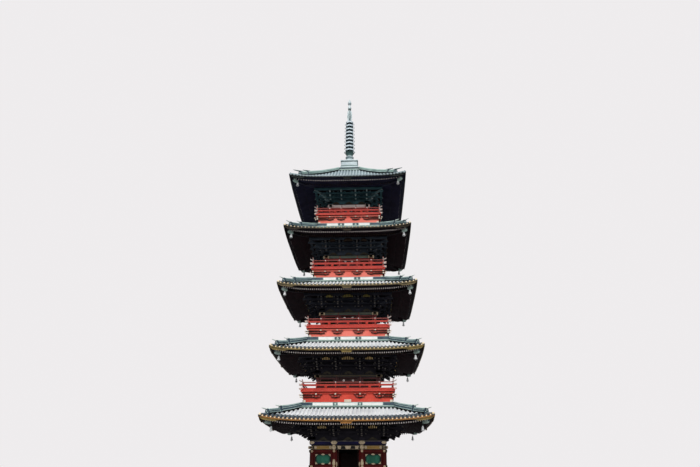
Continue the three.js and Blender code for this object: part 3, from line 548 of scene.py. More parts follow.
def tiles(s):
    piece = Piece(f"tiles_{s['number']}")
    half = s["eave"][0]
    places = spread(*s["ribs"])
    start = EDGE_GAP / (half - s["crown"][0])
    rib_paint, pan_paint = ("rib_top", "pan_top") if s is TOP else ("rib", "pan")
    # Low on the slope the cover tiles and the pan tiles take darker paints.
    dark_ribs, dark_pans = s["dark_share"]
    gold = f"gold_{s['number']}"
    for x in places:
        limit = float(hip_at(s, x))
        dark_share = min(dark_ribs, limit)
        if dark_share > start + SHORTEST:
            piece.sides(rib(s, x, start, dark_share), "rib_low")
        if limit > dark_share + SHORTEST:
            piece.sides(rib(s, x, dark_share, limit), rib_paint)
    edges = np.concatenate([[-half + EDGE_GAP], places, [half - EDGE_GAP]])
    for x0, x1 in zip(edges[:-1], edges[1:]):
        limit = float(hip_at(s, [x0, x1]).max())
        piece.sides(pans(s, x0, x1, start, dark_pans), "pan_low")
        if limit > dark_pans + SHORTEST:
            piece.sides(pans(s, x0, x1, dark_pans, 1), pan_paint)
    spots = slope(s, places, 0) + (0, 0.013, RIB_UP)
    rim_paint, boss_paint = ("rib_top", "rib") if s is TOP else (gold, "cap")
    for profile, paint in ((CAP_RIM, rim_paint), (CAP_BOSS, boss_paint)):
        piece.sides(moved(facing(lathe(profile, 10)), *spots), paint)
    for x0, x1 in zip(places[:-1], places[1:]):
        x, sag = hanging(x0, x1)
        upper = slope(s, x, 0)[:, 2] + 0.026 - PAN_SAG * sag
        lower = upper - 0.03 - 0.035 * sag
        outline = list(zip(x, upper)) + list(zip(x, lower))[::-1]
        piece.sides(prism(outline, -half + 0.014, -half + 0.03, "y"), gold)
    piece.build([f"roof_{s['number']}"])


# Eave boards, rafters, hip rafters and bells

FLYING_SETBACK = 0.35
BASE_SETBACK = 1.15
BASE_SLOPE = 0.3
WALL_LINE_OUT = 0.09
HIP_TIP_SHARE = 0.925
PURLIN_OUT = 1.25
FLYING_SIZE = (0.065, 0.1)  # width and height of the rafters
BASE_SIZE = (0.08, 0.11)
FAN = 0.1  # how much the top roof's rafters crowd towards the middle
EAVE_STEPS = 24  # points along each side of an eave board
RAFTER_TIP = block(-0.032, 0.032, -0.003, 0.0, 0.002, 0.1)


def rafter_lines(s):
    """Half widths at the flying rafters' and base rafters' ends and the wall line, and both undersides."""
    ends, step = s["eave"][0] - FLYING_SETBACK, s["eave"][0] - BASE_SETBACK
    wall_line = s["wall"] + WALL_LINE_OUT
    low = s["eave"][1] - 0.18

    def flying(half):
        t = (half - step) / (ends - step)
        return s["eave"][1] - 0.06 - 0.14 * t, 0.7 + 0.25 * t

    def base(half):
        t = (half - wall_line) / (step - wall_line)
        return low + BASE_SLOPE * (step - half), 0.55 * np.clip(t, 0, 1)

    return ends, step, wall_line, flying, base


def height_at(s, line, x, half):
    z, share = line(half)
    return z + lift_of(s) * np.minimum(1, np.abs(x) / half) ** 4 * share


def rafter_row(s, line, outer, inner, width, high, pitch):
    """Rafters side by side under one slope: parallel, or spread as a fan under the top roof."""
    count = int(2 * outer / pitch)
    x0 = spread(count, 2 * outer / (count + 1))
    if s is TOP:
        x0 = (1 - FAN) * x0 + FAN * x0 ** 3 / outer ** 2
        half = np.full(count, inner)
        x1 = x0 * inner / outer
    else:
        half = np.maximum(inner, np.abs(x0) + 0.06)
        x1 = x0
    kept = half < outer - 0.08
    x0, x1, half = x0[kept], x1[kept], half[kept]
    z0, z1 = height_at(s, line, x0, outer), height_at(s, line, x1, half)
    corners = []
    for x, y, z in ((x0, np.full(len(x0), -outer), z0), (x1, -half, z1)):
        for dx, dz in ((-width / 2, 0), (width / 2, 0), (width / 2, high), (-width / 2, high)):
            corners.append(np.stack([x + dx, y, z + dz], -1))
    rafters = np.stack(corners, 1), tube_faces(2, 4)
    return rafters, moved(RAFTER_TIP, *np.stack([x0, np.full(len(x0), -outer), z0], -1))


def eave_plate(s, x, drop, inset):
    """A gilt plate on the eave's edge, which hangs below the tiles' edge by drop at each place x."""
    rise = lift_of(s) * (np.abs(x) / s["eave"][0]) ** 4 + s["eave"][1]
    y = -s["eave"][0] + inset
    rings = [[(a, y, b - d), (a, y, b + 0.01), (a, y + 0.03, b + 0.01), (a, y + 0.03, b - d)]
             for a, b, d in zip(x, rise, drop)]
    return tube(rings)


def eave_boards(piece, s):
    e, low = s["eave"][0], s["eave"][1]
    ends, step, wall_line, flying, base = rafter_lines(s)
    gold = f"gold_{s['number']}"
    soffit = "soffit_top" if s is TOP else "soffit"
    flying_end, flying_root = flying(ends)[0] + 0.1, flying(step)[0] + 0.1
    base_end, ceiling = base(step)[0] + 0.11, base(wall_line)[0] + 0.11
    edge = [(e - 0.07, low, 1), (e - 0.02, low, 1), (e - 0.02, low + 0.06, 1), (e - 0.07, low + 0.06, 1)]
    board = [(e - 0.4, low - 0.02, 0.95), (e - 0.09, low - 0.02, 0.98), (e - 0.06, low + 0.06, 1),
             (e - 0.4, low + 0.06, 0.95)]
    fascia = [(ends - 0.04, low - 0.1, 0.95), (ends + 0.03, low - 0.1, 0.95), (ends + 0.06, low - 0.01, 0.96),
              (ends - 0.04, low - 0.01, 0.95)]
    upper = [(ends, flying_end, 0.95), (ends, flying_end + 0.03, 0.95),
             (step - 0.2, flying_root + 0.08, 0.66), (step - 0.2, flying_root + 0.03, 0.66)]
    carrier = [(step - 0.06, low - 0.07, 0.55), (step + 0.04, low - 0.07, 0.56),
               (step + 0.04, low + 0.01, 0.7), (step - 0.06, low + 0.01, 0.7)]
    lower = [(step, base_end, 0.55), (step, base_end + 0.03, 0.55), (wall_line - 0.1, ceiling + 0.04, 0),
             (wall_line - 0.1, ceiling, 0)]
    for section in (edge, board, fascia, upper, carrier, lower):
        piece.add(square_ring(section, lift_of(s), EAVE_STEPS), gold if section is edge else soffit)
    x = 0.075 * e * np.array([-1, -0.85, -0.8, 0.8, 0.85, 1])
    drop = np.array([0.03, 0.05, 0.15, 0.15, 0.05, 0.03])
    piece.sides(eave_plate(s, x, drop, 0.075), gold)
    x = e - 0.12 - np.array([0, 0.2, 0.95, 1.08, 1.2, 1.43])
    corner = eave_plate(s, x, np.array([0.04, 0.13, 0.13, 0.1, 0.05, 0.01]), 0.06)
    piece.pairs(corner, "gold_2" if s["number"] == 1 else gold)


def hip_rafters(piece, s):
    _, step, _, _, base = rafter_lines(s)
    lift, wall = lift_of(s), s["wall"]
    tip = s["eave"][0] * HIP_TIP_SHARE
    low = base(step)[0]
    ceiling = base(wall + WALL_LINE_OUT)[0]
    foot, top = s["eave"][2] - 0.43, s["eave"][2] - 0.2
    side = [(wall - 0.04, ceiling - 0.06), (step, low - 0.04 + 0.55 * lift), (tip - 0.1, foot + 0.01),
            (tip - 0.03, foot + 0.04), (tip, foot + 0.1), (tip, top), (wall - 0.04, ceiling + 0.1)]
    sleeve = [(tip - 0.3, foot - 0.006), (tip - 0.1, foot - 0.006), (tip - 0.025, foot + 0.03),
              (tip + 0.008, foot + 0.1), (tip + 0.008, top + 0.012), (tip - 0.3, top + 0.03)]
    soffit = "soffit_top" if s is TOP else "soffit"
    for outline, half, paint in ((side, 0.085, soffit), (sleeve, 0.096, "sleeve")):
        piece.corners(prism([(a * ROOT_2, b) for a, b in outline], -half, half, "y"), paint)
    out = tip * ROOT_2 + 0.01
    piece.corners(block(out, out + 0.014, -0.07, 0.07, foot + 0.12, top - 0.01), "ridge_end")


# Profiles about the bell's middle line, under the point that it hangs from
BELL_PROFILE = [(0, 0.0), (0.03, 0.0), (0.05, -0.02), (0.062, -0.06), (0.075, -0.14), (0.085, -0.2),
                (0.1, -0.255), (0.12, -0.29), (0.12, -0.31), (0.098, -0.3), (0.07, -0.2), (0.04, -0.06),
                (0, -0.05)]
CLAPPER = [(0, -0.05), (0.006, -0.05), (0.006, -0.27), (0.024, -0.28), (0.024, -0.32), (0.005, -0.33),
           (0, -0.33)]
BELL_HALF = 0.155
BELL_LOOP = 0.03
LOOP_WIRE = 0.007


def bells(s):
    piece = Piece(f"bells_{s['number']}")
    out, middle = s["bell"]
    at, hang = out * ROOT_2, middle + BELL_HALF
    piece.corners(centred(at, 0, 0.008, 0.008, hang + 0.045, s["eave"][2] - 0.36), "bronze")
    # The bell's pure white includes a painted highlight.
    piece.corners(lathe(BELL_PROFILE, 20, (at, 0, hang)), "bell")
    ring = [(BELL_LOOP + LOOP_WIRE * math.cos(a), LOOP_WIRE * math.sin(a)) for a in turns(6)]
    piece.corners(moved(facing(lathe(ring, 12, closed=True)), (at, 0, hang + 0.025)), "bronze")
    piece.corners(lathe(CLAPPER, 8, (at, 0, hang)), "bronze")
    piece.corners(centred(at, 0, 0.004, 0.035, hang - 0.38, hang - 0.33), "bell")
    piece.build()


# The bars' paints dim from the lowest storey upwards: painted reflection on the gilt.
GRILLE_PAINTS = ("gilt", "gilt", "gilt_dim", "tip_dim")
GRILLE_BAR = 0.03


def bay_places(s):
    """The middles of the three bays of a side."""
    side = s["wall"] * (1 + INNER) / 2
    return (-side, 0, side)


def gilt_grilles(piece, s):
    """Arched grilles of upright gilt bars under the eave purlin, one in the middle of each bay. The bars'
    bright paint is the gilt's colour with a painted reflection of the sky.
    """
    y = -(s["wall"] + PURLIN_OUT + 0.1)
    foot = s["eave"][1] - 0.3
    for middle in bay_places(s):
        count, tall, pitch = (5, 0.19, 0.13) if middle else (7, 0.22, 0.145)
        pitch *= s["wall"] / GROUND["wall"]
        half = count / 2 * pitch
        arch = [(half * math.cos(a), 0.04 + (tall + 0.02) * math.sin(a)) for a in np.linspace(0, math.pi, 9)]
        outline = [(half, -0.02), *arch, (-half, -0.02)]
        piece.sides(prism(placed(outline, middle, foot), y - 0.005, y + 0.03, "y"), "soffit")
        for x in spread(count, pitch):
            high = tall * math.sqrt(max(0.12, 1 - (x / half) ** 2))
            at = middle + x
            bar = block(at - GRILLE_BAR, at + GRILLE_BAR, y - 0.035, y, foot, foot + high)
            piece.sides(bar, GRILLE_PAINTS[s["number"] - 1])


def rafters(s):
    piece = Piece(f"rafters_{s['number']}")
    ends, step, wall_line, flying, base = rafter_lines(s)
    eave_boards(piece, s)
    wood = "rafter_top" if s is TOP else "rafter"
    inside = wall_line - 0.1
    for line, outer, inner, wide, high, pitch, tip_paint in (
            (flying, ends, step - 0.15, *FLYING_SIZE, s["tips"], "tip"),
            (base, step, inside, *BASE_SIZE, 1.15 * s["tips"], "tip_dim")):
        row, tips = rafter_row(s, line, outer, inner, wide, high, pitch)
        piece.sides(row, wood)
        piece.sides(tips, tip_paint)
    hip_rafters(piece, s)
    if s is not TOP:
        gilt_grilles(piece, s)
    ceiling = base(wall_line)[0] + 0.12
    piece.add(centred(0, 0, inside, inside, ceiling, ceiling + 0.04), "soffit")
    piece.build([f"eaves_{s['number']}"])


# Bracket tiers

STEP_OUT = PURLIN_OUT / 3
BIG_BLOCK = 0.24
ARM_HIGH = 0.14
PURLIN_DROP = 0.06  # from the tiles' edge down to the purlin
TAIL_SHARES = (-0.54, 0.36)  # how far the tail rafters lie over the middle tier, in tiers
# Lighter paints up the tower: painted light on the same dark brackets.
BRACKET_PAINTS = ("bracket", "bracket", "bracket_3", "bracket_4", "bracket_teal")


def both_halves(half):
    """An outline's right half, from the lowest middle point round to the top one, with its mirror image."""
    return half + [(-x, z) for x, z in reversed(half)]


FROG_LEG = both_halves([(0.13, 0.07), (0.2, 0), (0.36, 0), (0.35, 0.05), (0.27, 0.09), (0.2, 0.16),
                        (0.11, 0.2), (0.08, 0.24)])


def small_block(x, y, z, wide=0.17, high=0.1):
    """A bearing block, narrowed towards its foot."""
    half = wide / 2
    foot, top = block(x - half, x + half, y - half, y + half, z + high * 0.45, z + high)[0].reshape(2, 4, 3)
    narrow = block(x - half + 0.03, x + half - 0.03, y - half + 0.03, y + half - 0.03, z, z)[0][:4]
    return tube([narrow, foot, top])


def side_arm(x, y, z, half):
    """A boat-shaped arm along the wall."""
    outline = both_halves([(half - 0.14, 0), (half - 0.05, 0.03), (half, 0.07), (half, ARM_HIGH)])
    return prism(placed(outline, x, z), y - 0.06, y + 0.06, "y")


def out_arm(start, reach, z):
    """A bracket arm that steps outwards along +X, rounded under its end."""
    return prism([(start, z), (reach - 0.14, z), (reach - 0.03, z + 0.025), (reach + 0.05, z + 0.07),
                  (reach + 0.08, z + ARM_HIGH), (start, z + ARM_HIGH)], -0.065, 0.065, "y")


def tail_rafter(reach, z, stretch=1.0):
    """A sloping tail rafter along +X, with its nose cut square."""
    out = (reach + 0.12) * stretch
    outline = [(0.05, 0.42), (out, 0.02), (out + 0.03, 0.13), (0.05, 0.56)]
    return prism(placed(outline, 0, z), -0.06, 0.06, "y")


def arm_end(reach, z, wide=0.06, tall=0.07):
    """A painted plate on an arm's end, along +X."""
    return block(reach, reach + 0.014, -wide, wide, z, z + tall)


def tier_heights(s):
    """Undersides of the three tiers of arms and of the two tail rafters, and the blocks' height between."""
    base = s["lintel"][1] + BIG_BLOCK
    rise = (s["eave"][1] - PURLIN_DROP - base) / 3
    tiers = [base + tier * rise for tier in range(3)]
    return tiers, [tiers[1] + share * rise for share in TAIL_SHARES], rise - ARM_HIGH


def column_brackets(piece, s, x, dark, end_paint):
    """The arms, blocks and tail rafters over one column of a side."""
    wall = s["wall"]
    tiers, tails, high = tier_heights(s)

    def outward(shape, paint):
        """Adds a shape made along +X, standing at x on the front wall and running outwards."""
        piece.sides(moved(turned(shape, -math.pi / 2), (x, -wall, 0)), paint)

    piece.sides(small_block(x, -wall, s["lintel"][1], 0.42, BIG_BLOCK), dark)
    for tier, z in enumerate(tiers):
        reach, seat = STEP_OUT * (tier + 1), z + ARM_HIGH
        outward(out_arm(-0.2, reach, z), dark)
        outward(arm_end(reach + 0.07, z + 0.06), end_paint)
        piece.sides(small_block(x, -wall - reach, seat, 0.17, high), dark)
        for row in range(tier + 1):
            y = -wall - STEP_OUT * row
            half = 0.36 + 0.1 * (tier - row)
            piece.sides(side_arm(x, y, z, half), dark)
            for end in (x - half + 0.08, x + half - 0.08):
                piece.sides(small_block(end, y, seat, 0.16, high), dark)
                piece.sides(centred(end, y - 0.085, 0.045, 0.007, seat + 0.045, seat + high), "bracket_end")
    for level, z in enumerate(tails):
        reach = STEP_OUT * (2 + level)
        outward(tail_rafter(reach, z), dark)
        outward(arm_end(reach + 0.135, z + 0.03, 0.05, 0.09), end_paint)


def bracket_tier(s):
    piece = Piece(f"bracket_sets_{s['number']}")
    wall, base, top = s["wall"], s["lintel"][1], s["eave"][1] - PURLIN_DROP
    dark = BRACKET_PAINTS[s["number"] - 1]
    corner_arm, end_paint = ("corner_arm", "bracket_end_pale") if s is TOP else (dark, "bracket_end")
    tiers, tails, _ = tier_heights(s)
    for x in column_places(s):
        column_brackets(piece, s, x, dark, end_paint)
    corner = (wall * ROOT_2, 0, 0)
    for tier, z in enumerate(tiers):
        reach = STEP_OUT * (tier + 1) * ROOT_2
        piece.corners(moved(out_arm(-0.2, reach, z), corner), corner_arm)
        piece.corners(moved(arm_end(reach + 0.07, z + 0.06), corner), end_paint)
    for level, z in enumerate(tails):
        piece.corners(moved(tail_rafter(STEP_OUT * (2 + level), z, ROOT_2), corner), dark)
    for row in range(3):
        half = wall + STEP_OUT * row
        for z in tiers[row:]:
            piece.add(slab_ring(half - 0.05, half + 0.05, z + 0.02, z + ARM_HIGH - 0.02), dark)
    near, far = wall + PURLIN_OUT - 0.09, wall + PURLIN_OUT + 0.09
    piece.add(slab_ring(near, far, top - 0.04, top + 0.12), dark)
    piece.add(slab_ring(wall - 0.04, wall + 0.04, base, top + 0.3), dark)
    piece.add(slab_ring(wall + 0.04, near, top + 0.02, top + 0.05), "soffit")
    for x in bay_places(s):
        piece.sides(prism(placed(FROG_LEG, x, base), -wall - 0.13, -wall - 0.03, "y"), "frog_leg")
        piece.sides(small_block(x, -wall - 0.02, base + 0.24, 0.2, 0.12), dark)
    piece.build([f"brackets_{s['number']}"])


# Ridges

# Courses of a hip ridge: half width, foot and top as shares of the ridge's height, and which paint
# The lowest course is a near-black filler under the ridge, down into the tiles: painted shadow for the dark
# notches between the cover tiles.
HIP_COURSES = ((0.09, -0.45, 0.12, "shadow_course"), (0.137, 0.12, 0.22, "line"), (0.1, 0.22, 0.54, "side"),
               (0.127, 0.54, 0.63, "line"), (0.09, 0.63, 0.82, "side"), (0.072, 0.82, 1.0, "line"))
# end: where the ridge ends, and tip: where its horn does, as shares of the slope
# height: the ridge's, and horn: how high the horn's tip is over the tiles
LOW_RIDGE = dict(end=0.21, tip=0.08, height=0.29, horn=0.37)
HIGH_RIDGE = dict(end=0.51, tip=0.39, height=0.41, horn=0.5)
TOP_HIGH_RIDGE = dict(end=0.35, tip=0.26, height=0.34, horn=0.45)
RIDGE_PAINTS = dict(shadow_course="painted_shadow", line="ridge_edge", side="ridge", band="ridge", horn="horn", cover="rib_low",
                    cover_end="cap")
TOP_RIDGE_PAINTS = dict(RIDGE_PAINTS, side="ridge_mint", band="ridge_end", horn="horn_dim", cover="rib_top",
                        cover_end="rib_top")
COVER_FOOT = 0.02
COVER_RADIUS = 0.085
FLOWER = [(0, 0.03), (0.03, 0.028), (0.05, 0.012), (0.075, 0.01), (0.085, 0), (0, 0)]


def hip_point(s, v):
    """A place on the hip over the tiles, as distance out along the diagonal and height."""
    half = s["eave"][0] + (s["crown"][0] - s["eave"][0]) * v
    return half * ROOT_2, float(slope(s, half, v)[2]) + 0.1


def hip_height(s, kind, v):
    """Height of a hip ridge over the tiles. A high one meets the top of the box ridge."""
    if kind is LOW_RIDGE:
        return kind["height"]
    t = max(0.0, (v - kind["end"] - 0.05) / (0.95 - kind["end"]))
    return kind["height"] * (1 - t) + (s["crown"][2] - s["crown"][1]) * t


def hip_ridge(s, kind, low, high, course):
    wide, foot, top, _ = course
    rings = []
    for v in np.linspace(low, high, 9):
        out, z = hip_point(s, v)
        tall = hip_height(s, kind, v)
        a, b = z + foot * tall, z + top * tall
        middle = (a + b) / 2
        rings.append([(out, -wide, a), (out, wide, a), (out, wide, middle), (out, 0.8 * wide, b),
                      (out, -0.8 * wide, b), (out, -wide, middle)])
    return tube(rings)


def horn(s, kind):
    """The end tile of a hip ridge, with curled bosses and a tapering horn that sweeps out and up from it."""
    end, height = kind["end"], kind["height"]
    out, z = hip_point(s, end)
    half = [(0.2, -0.12), (0.22, 0.04), (0.17, height * 0.5), (0.15, height * 0.8), (0.1, height)]
    plate = prism(placed(both_halves(half), 0, z), out - 0.03, out + 0.06, "x")
    bosses = []
    for side, up, radius in ((0, 0.45, 0.07), (-0.15, 0.1, 0.05), (0.15, 0.1, 0.05)):
        boss = lathe([(0, 0.04), (radius * 0.7, 0.03), (radius, 0.0), (0, 0)], 10)
        bosses.append(moved(along_x(boss), (out + 0.06, side, z + height * up)))
    tip_out, tip_z = hip_point(s, kind["tip"])
    start = np.array([out - 0.3, 0, hip_point(s, end + 0.06)[1] + height - 0.03])
    bend = np.array([out + 0.35 * (tip_out - out), 0, z + height * 0.9])
    last = np.array([tip_out, 0, tip_z + kind["horn"]])
    rings = []
    for t in np.linspace(0, 1, 11):
        at = start * (1 - t) ** 2 + bend * 2 * t * (1 - t) + last * t ** 2
        along = (bend - start) * (1 - t) + (last - bend) * t
        along /= np.linalg.norm(along)
        radius = 0.068 - 0.045 * t ** 1.5
        up, across = radius * np.array([-along[2], 0, along[0]]), radius * np.array([0, 0.85, 0])
        rings.append([at + math.cos(a) * up + math.sin(a) * across for a in turns(10)])
    return plate, bosses, tube(rings)


def hip_cover(s):
    """The round cover tile along the hip from the ridge's end to the corner, with its end cap."""
    rings = []
    for v in np.linspace(COVER_FOOT, LOW_RIDGE["end"] + 0.03, 6):
        out, z = hip_point(s, v)
        if v == COVER_FOOT:
            out -= 0.11
        rings.append([(out, COVER_RADIUS * math.cos(a), z - 0.05 + COVER_RADIUS * math.sin(a))
                      for a in turns(10)])
    cap = along_x(lathe([(0, 0.02), (0.04, 0.018), (0.06, 0.006), (0.1, 0.0), (0.1, -0.06), (0, -0.06)], 14))
    return tube(rings), moved(cap, (s["eave"][0] * ROOT_2 - 0.13, 0, hip_point(s, COVER_FOOT)[1] - 0.05))


def crown_panels(piece, s, low, high):
    """Pale panels on the box ridge of a lower roof, with flowers between them. The panels' near white is
    partly a painted reflection of the sky.
    """
    half = s["crown"][0]
    middle, side0, side1 = s["panels"]
    y = -half + 0.03
    for x0, x1 in ((-middle, middle), (side0, side1), (-side1, -side0)):
        piece.sides(block(x0, x1, y - 0.02, y + 0.01, low, high), "panel")
        for x in (x0, x1):
            piece.sides(block(x - 0.025, x + 0.025, y - 0.026, y + 0.01, low, high), "ridge_edge")
    flower = moved(facing(lathe(FLOWER, 12)), ((middle + side0) / 2, y, (low + high) / 2))
    piece.pairs(flower, "sleeve")


def ridges(s):
    piece = Piece(f"ridge_copper_{s['number']}")
    half, foot, top = s["crown"]
    high, inner, paints = HIGH_RIDGE, half - 0.13, RIDGE_PAINTS
    if s is TOP:
        high, inner, paints = TOP_HIGH_RIDGE, 0.83, TOP_RIDGE_PAINTS
    navy, mint = foot + 0.075, foot + 0.115
    # The near-black ring below the box ridge is painted shadow at its foot.
    for back, z0, z1, paint in ((0.09, foot - 0.16, foot, "painted_shadow"), (0.005, foot, foot + 0.03, "ridge_edge"),
                                (0.05, foot + 0.03, navy, "ridge_end"), (0.015, navy, mint, "sleeve"),
                                (0.03, mint, top - 0.035, paints["band"])):
        piece.add(slab_ring(inner, half - back, z0, z1), paint)
    cap = [(inner, top - 0.035), (half, top - 0.035), (half, top - 0.015), (half - 0.04, top), (inner, top)]
    piece.add(square_ring(cap), "ridge_edge")
    if s is not TOP:
        crown_panels(piece, s, mint + 0.01, top - 0.04)
    for kind, low, limit in ((high, high["end"], 1.0), (LOW_RIDGE, LOW_RIDGE["end"], high["end"] + 0.04)):
        for course in HIP_COURSES:
            piece.corners(hip_ridge(s, kind, low, limit, course), paints[course[3]])
        plate, bosses, sweep = horn(s, kind)
        # The end plate's dark navy is painted shade.
        piece.corners(plate, "ridge_end")
        for boss in bosses:
            piece.corners(boss, "ridge_edge")
        piece.corners(sweep, paints["horn"])
    cover, end_cap = hip_cover(s)
    piece.corners(cover, paints["cover"])
    piece.corners(end_cap, paints["cover_end"])
    piece.build([f"ridges_{s['number']}"])


# Balconies

WAIST_SETBACK = 0.205
RAIL_SETBACK = 0.13
RAIL_CROSSING = 0.25
RAIL_CAP = 0.26
BOAT = both_halves([(0.06, -0.45), (0.13, -0.415), (0.24, -0.4), (0.32, -0.365), (0.335, -0.33),
                    (0.27, -0.34), (0.2, -0.37)])
LONG_ARM = both_halves([(0.36, -0.232), (0.44, -0.222), (0.46, -0.2)])


def column_places(s):
    return [share * s["wall"] for share in (-1, -INNER, INNER, 1)]


def boat_bracket(piece, x, face, under):
    """A bracket set on the waist wall: a boat-shaped arm, bearing blocks, a longer arm and a pale nose."""
    y = -face - 0.05
    for outline, reach, z, high in ((BOAT, 0.22, under - 0.355, 0.085), (LONG_ARM, 0.35, under - 0.2, 0.07)):
        piece.sides(prism(placed(outline, x, under), y - 0.045, y + 0.055, "y"), "waist_dark")
        for end in (x - reach, x + reach):
            # The bearing blocks take the lighter vermilion: painted highlight.
            piece.sides(small_block(end, y, z, 0.13, high), "vermilion_highlight")
    piece.sides(block(x - 0.04, x + 0.04, y - 0.03, y + 0.055, under - 0.37, under - 0.2), "waist_red")
    piece.sides(block(x - 0.05, x + 0.05, y - 0.11, y + 0.05, under - 0.2, under - 0.12), "waist_dark")
    piece.sides(block(x - 0.055, x + 0.055, y - 0.124, y - 0.11, under - 0.2, under - 0.115), "cream")


def waist(s, below):
    piece = Piece(f"waist_and_deck_{s['number']}")
    half, under, top, _ = s["deck"]
    face = half - WAIST_SETBACK
    _, ridge_foot, ridge_top = below["crown"]
    second = s["number"] == 2
    # The upper waists take the lighter red: painted light.
    red = "waist_red" if second else "waist_red_lit"
    deck = [(0.3, top - 0.03), (0.3, under + 0.02), (half - 0.05, under + 0.02), (half - 0.05, top - 0.05),
            (half - 0.02, top - 0.05), (half - 0.02, top - 0.03)]
    piece.add(square_ring(deck), "waist_dark")
    for inner, outer, z0, z1, paint in (
            (face - 0.13, face, ridge_foot, under, red),
            (half - 0.09, half - 0.01, under, top - 0.045, "vermilion"),
            (half - 0.2, half, top - 0.045, top, "vermilion"),
            # A thin near-black band under the deck: painted shadow.
            (face - 0.01, face + 0.02, under - 0.04, under, "waist_dark"),
            (face - 0.01, face + 0.07, under - 0.13, under - 0.04, red)):
        piece.add(slab_ring(inner, outer, z0, z1), paint)
    for x in column_places(s):
        boat_bracket(piece, x, face, under)
    for z, reach in ((under - 0.4, face + 0.24), (under - 0.25, face + 0.3)):
        arm = block(s["wall"] + 0.1, reach, -face - 0.1, -face - 0.01, z, z + 0.055)
        piece.pairs(arm, "waist_dark")
        cap = block(reach - 0.07, reach + 0.012, -face - 0.11, -face, z - 0.008, z + 0.08)
        piece.pairs(cap, "cream")
    foot_plate = block(face - 0.18, face + 0.035, -face - 0.035, -face + 0.01, ridge_top, ridge_top + 0.16)
    piece.pairs(foot_plate, "cream")
    if second:
        piece.sides(block(-0.25, 0.25, -face - 0.03, -face + 0.01, ridge_top, ridge_top + 0.19), "cream")
    piece.build([f"balcony_{s['number']}"], bevel=0.004)


def railing(s):
    piece = Piece(f"railing_bars_{s['number']}")
    half, _, foot, top = s["deck"]
    line = half - RAIL_SETBACK
    reach = line + RAIL_CROSSING
    tall = top - foot
    middle = foot + 0.45 * tall
    cap = np.linspace(1 - RAIL_CAP / reach, 0.999, 5)

    def rail(z, wide, high, rise, paint, shares):
        """A rail along the front, whose crossing ends rise."""
        up = rise * np.clip((np.abs(shares) - 0.9) / 0.1, 0, 1) ** 1.5
        rings = [[(x, -line - wide, z + u), (x, -line + wide, z + u), (x, -line + wide, z + u + high),
                  (x, -line - wide, z + u + high)] for x, u in zip(shares * reach, up)]
        piece.sides(tube(rings), paint)

    # The top rail takes the lighter vermilion: painted highlight.
    for z, wide, high, rise, paint in ((foot, 0.045, 0.19 * tall, 0.0, "vermilion"),
                                       (middle, 0.032, 0.24 * tall, 0.04, "vermilion"),
                                       (top - 0.06, 0.03, 0.055, 0.15, "vermilion_highlight")):
        rail(z, wide, high, rise, paint, np.array([-1, -0.955, -0.9, 0.9, 0.955, 1]))
        for shares in (cap, -cap[::-1]):
            rail(z - 0.006, wide + 0.006, high + 0.012, rise, "rail_end", shares)
    for x in column_places(s):
        piece.sides(centred(x, -line, 0.032, 0.028, foot + 0.1, top - 0.03), "vermilion")
        piece.sides(centred(x, -line, 0.042, 0.04, top - 0.065, top + 0.012), "tip")
        piece.sides(centred(x, -line, 0.036, 0.05, foot + 0.07, foot + 0.12), "tip_dim")
    for x in bay_places(s):
        piece.sides(small_block(x, -line, foot + 0.1, 0.19, middle - foot - 0.1), "vermilion")
    piece.build([f"railing_{s['number']}"])


# Upper storey walls, doors and lattices

LINTEL_NOSE = 0.25
DOOR_POST = 0.2
DOOR_HEAD = 0.06
SILL = 0.09
POST_RADIUS = 0.13
SLEEVE_LONG = 0.22
LINTEL_SLEEVES = ("fitting_dim", "fitting", "fitting", "lintel_5")
BOSS = [(0, 0.045), (0.02, 0.045), (0.05, 0.03), (0.065, 0.014), (0.085, 0.014), (0.09, 0), (0, 0)]


def upper_walls(s):
    piece = Piece(f"storey_walls_{s['number']}")
    wall, foot = s["wall"], s["deck"][2]
    low, high = s["lintel"]
    inner, end, middle = INNER * wall, wall + LINTEL_NOSE, (low + high) / 2
    lintel, red = f"lintel_{s['number']}", f"wall_red_{s['number']}"
    shoe = POST_RADIUS + 0.006
    for radius, z0, z1, paint in ((POST_RADIUS, foot, high - 0.01, red),
                                  (shoe, foot + 0.02, foot + 0.14, "fitting_dim")):
        for x in (-inner, inner, wall):
            piece.sides(lathe([(0, z0), (radius, z0), (radius, z1), (0, z1)], 20, (x, -wall, 0)), paint)
    piece.sides(centred(0, -wall, end, 0.125, low, high - 0.05), lintel)
    piece.sides(centred(0, -wall, end, 0.14, high - 0.05, high), "black")
    start = wall - SLEEVE_LONG
    sleeve = block(start, end, -wall - 0.137, -wall + 0.137, low - 0.012, high - 0.04)
    piece.pairs(sleeve, LINTEL_SLEEVES[s["number"] - 2])
    dentils = [(x, -wall - 0.1, high) for x in spread(int(2 * wall / 0.2), 0.2)]
    piece.sides(moved(block(-0.04, 0.04, -0.03, 0.03, 0, 0.05), *dentils), "tip_dim")
    stripe = block(-start, start, -wall - 0.132, -wall - 0.12, middle - 0.02, middle + 0.02)
    piece.sides(stripe, "tip" if s is TOP else "gold_3")
    door = inner - DOOR_POST
    window0, window1 = inner + 0.23, wall - 0.23
    for z0, z1 in ((foot, foot + SILL), (low - DOOR_HEAD, low)):
        piece.sides(centred(0, -wall, door, 0.05, z0, z1), red)
    for x0, x1, z0, z1 in ((door, window0, foot, low), (window1, wall, foot, low),
                           (window0, window1, foot, foot + 0.33), (window0, window1, low - 0.13, low)):
        piece.pairs(block(x0, x1, -wall - 0.05, -wall + 0.05, z0, z1), red)
    for z in (foot + 0.3, low - 0.14):
        piece.pairs(block(inner, wall, -wall - 0.08, -wall - 0.03, z, z + 0.07), red)
        fitting = block(inner - 0.05, inner + 0.05, -wall - 0.092, -wall - 0.042, z, z + 0.07)
        piece.pairs(fitting, "fitting_dim")
    piece.build([f"walls_{s['number']}"], bevel=0.003)


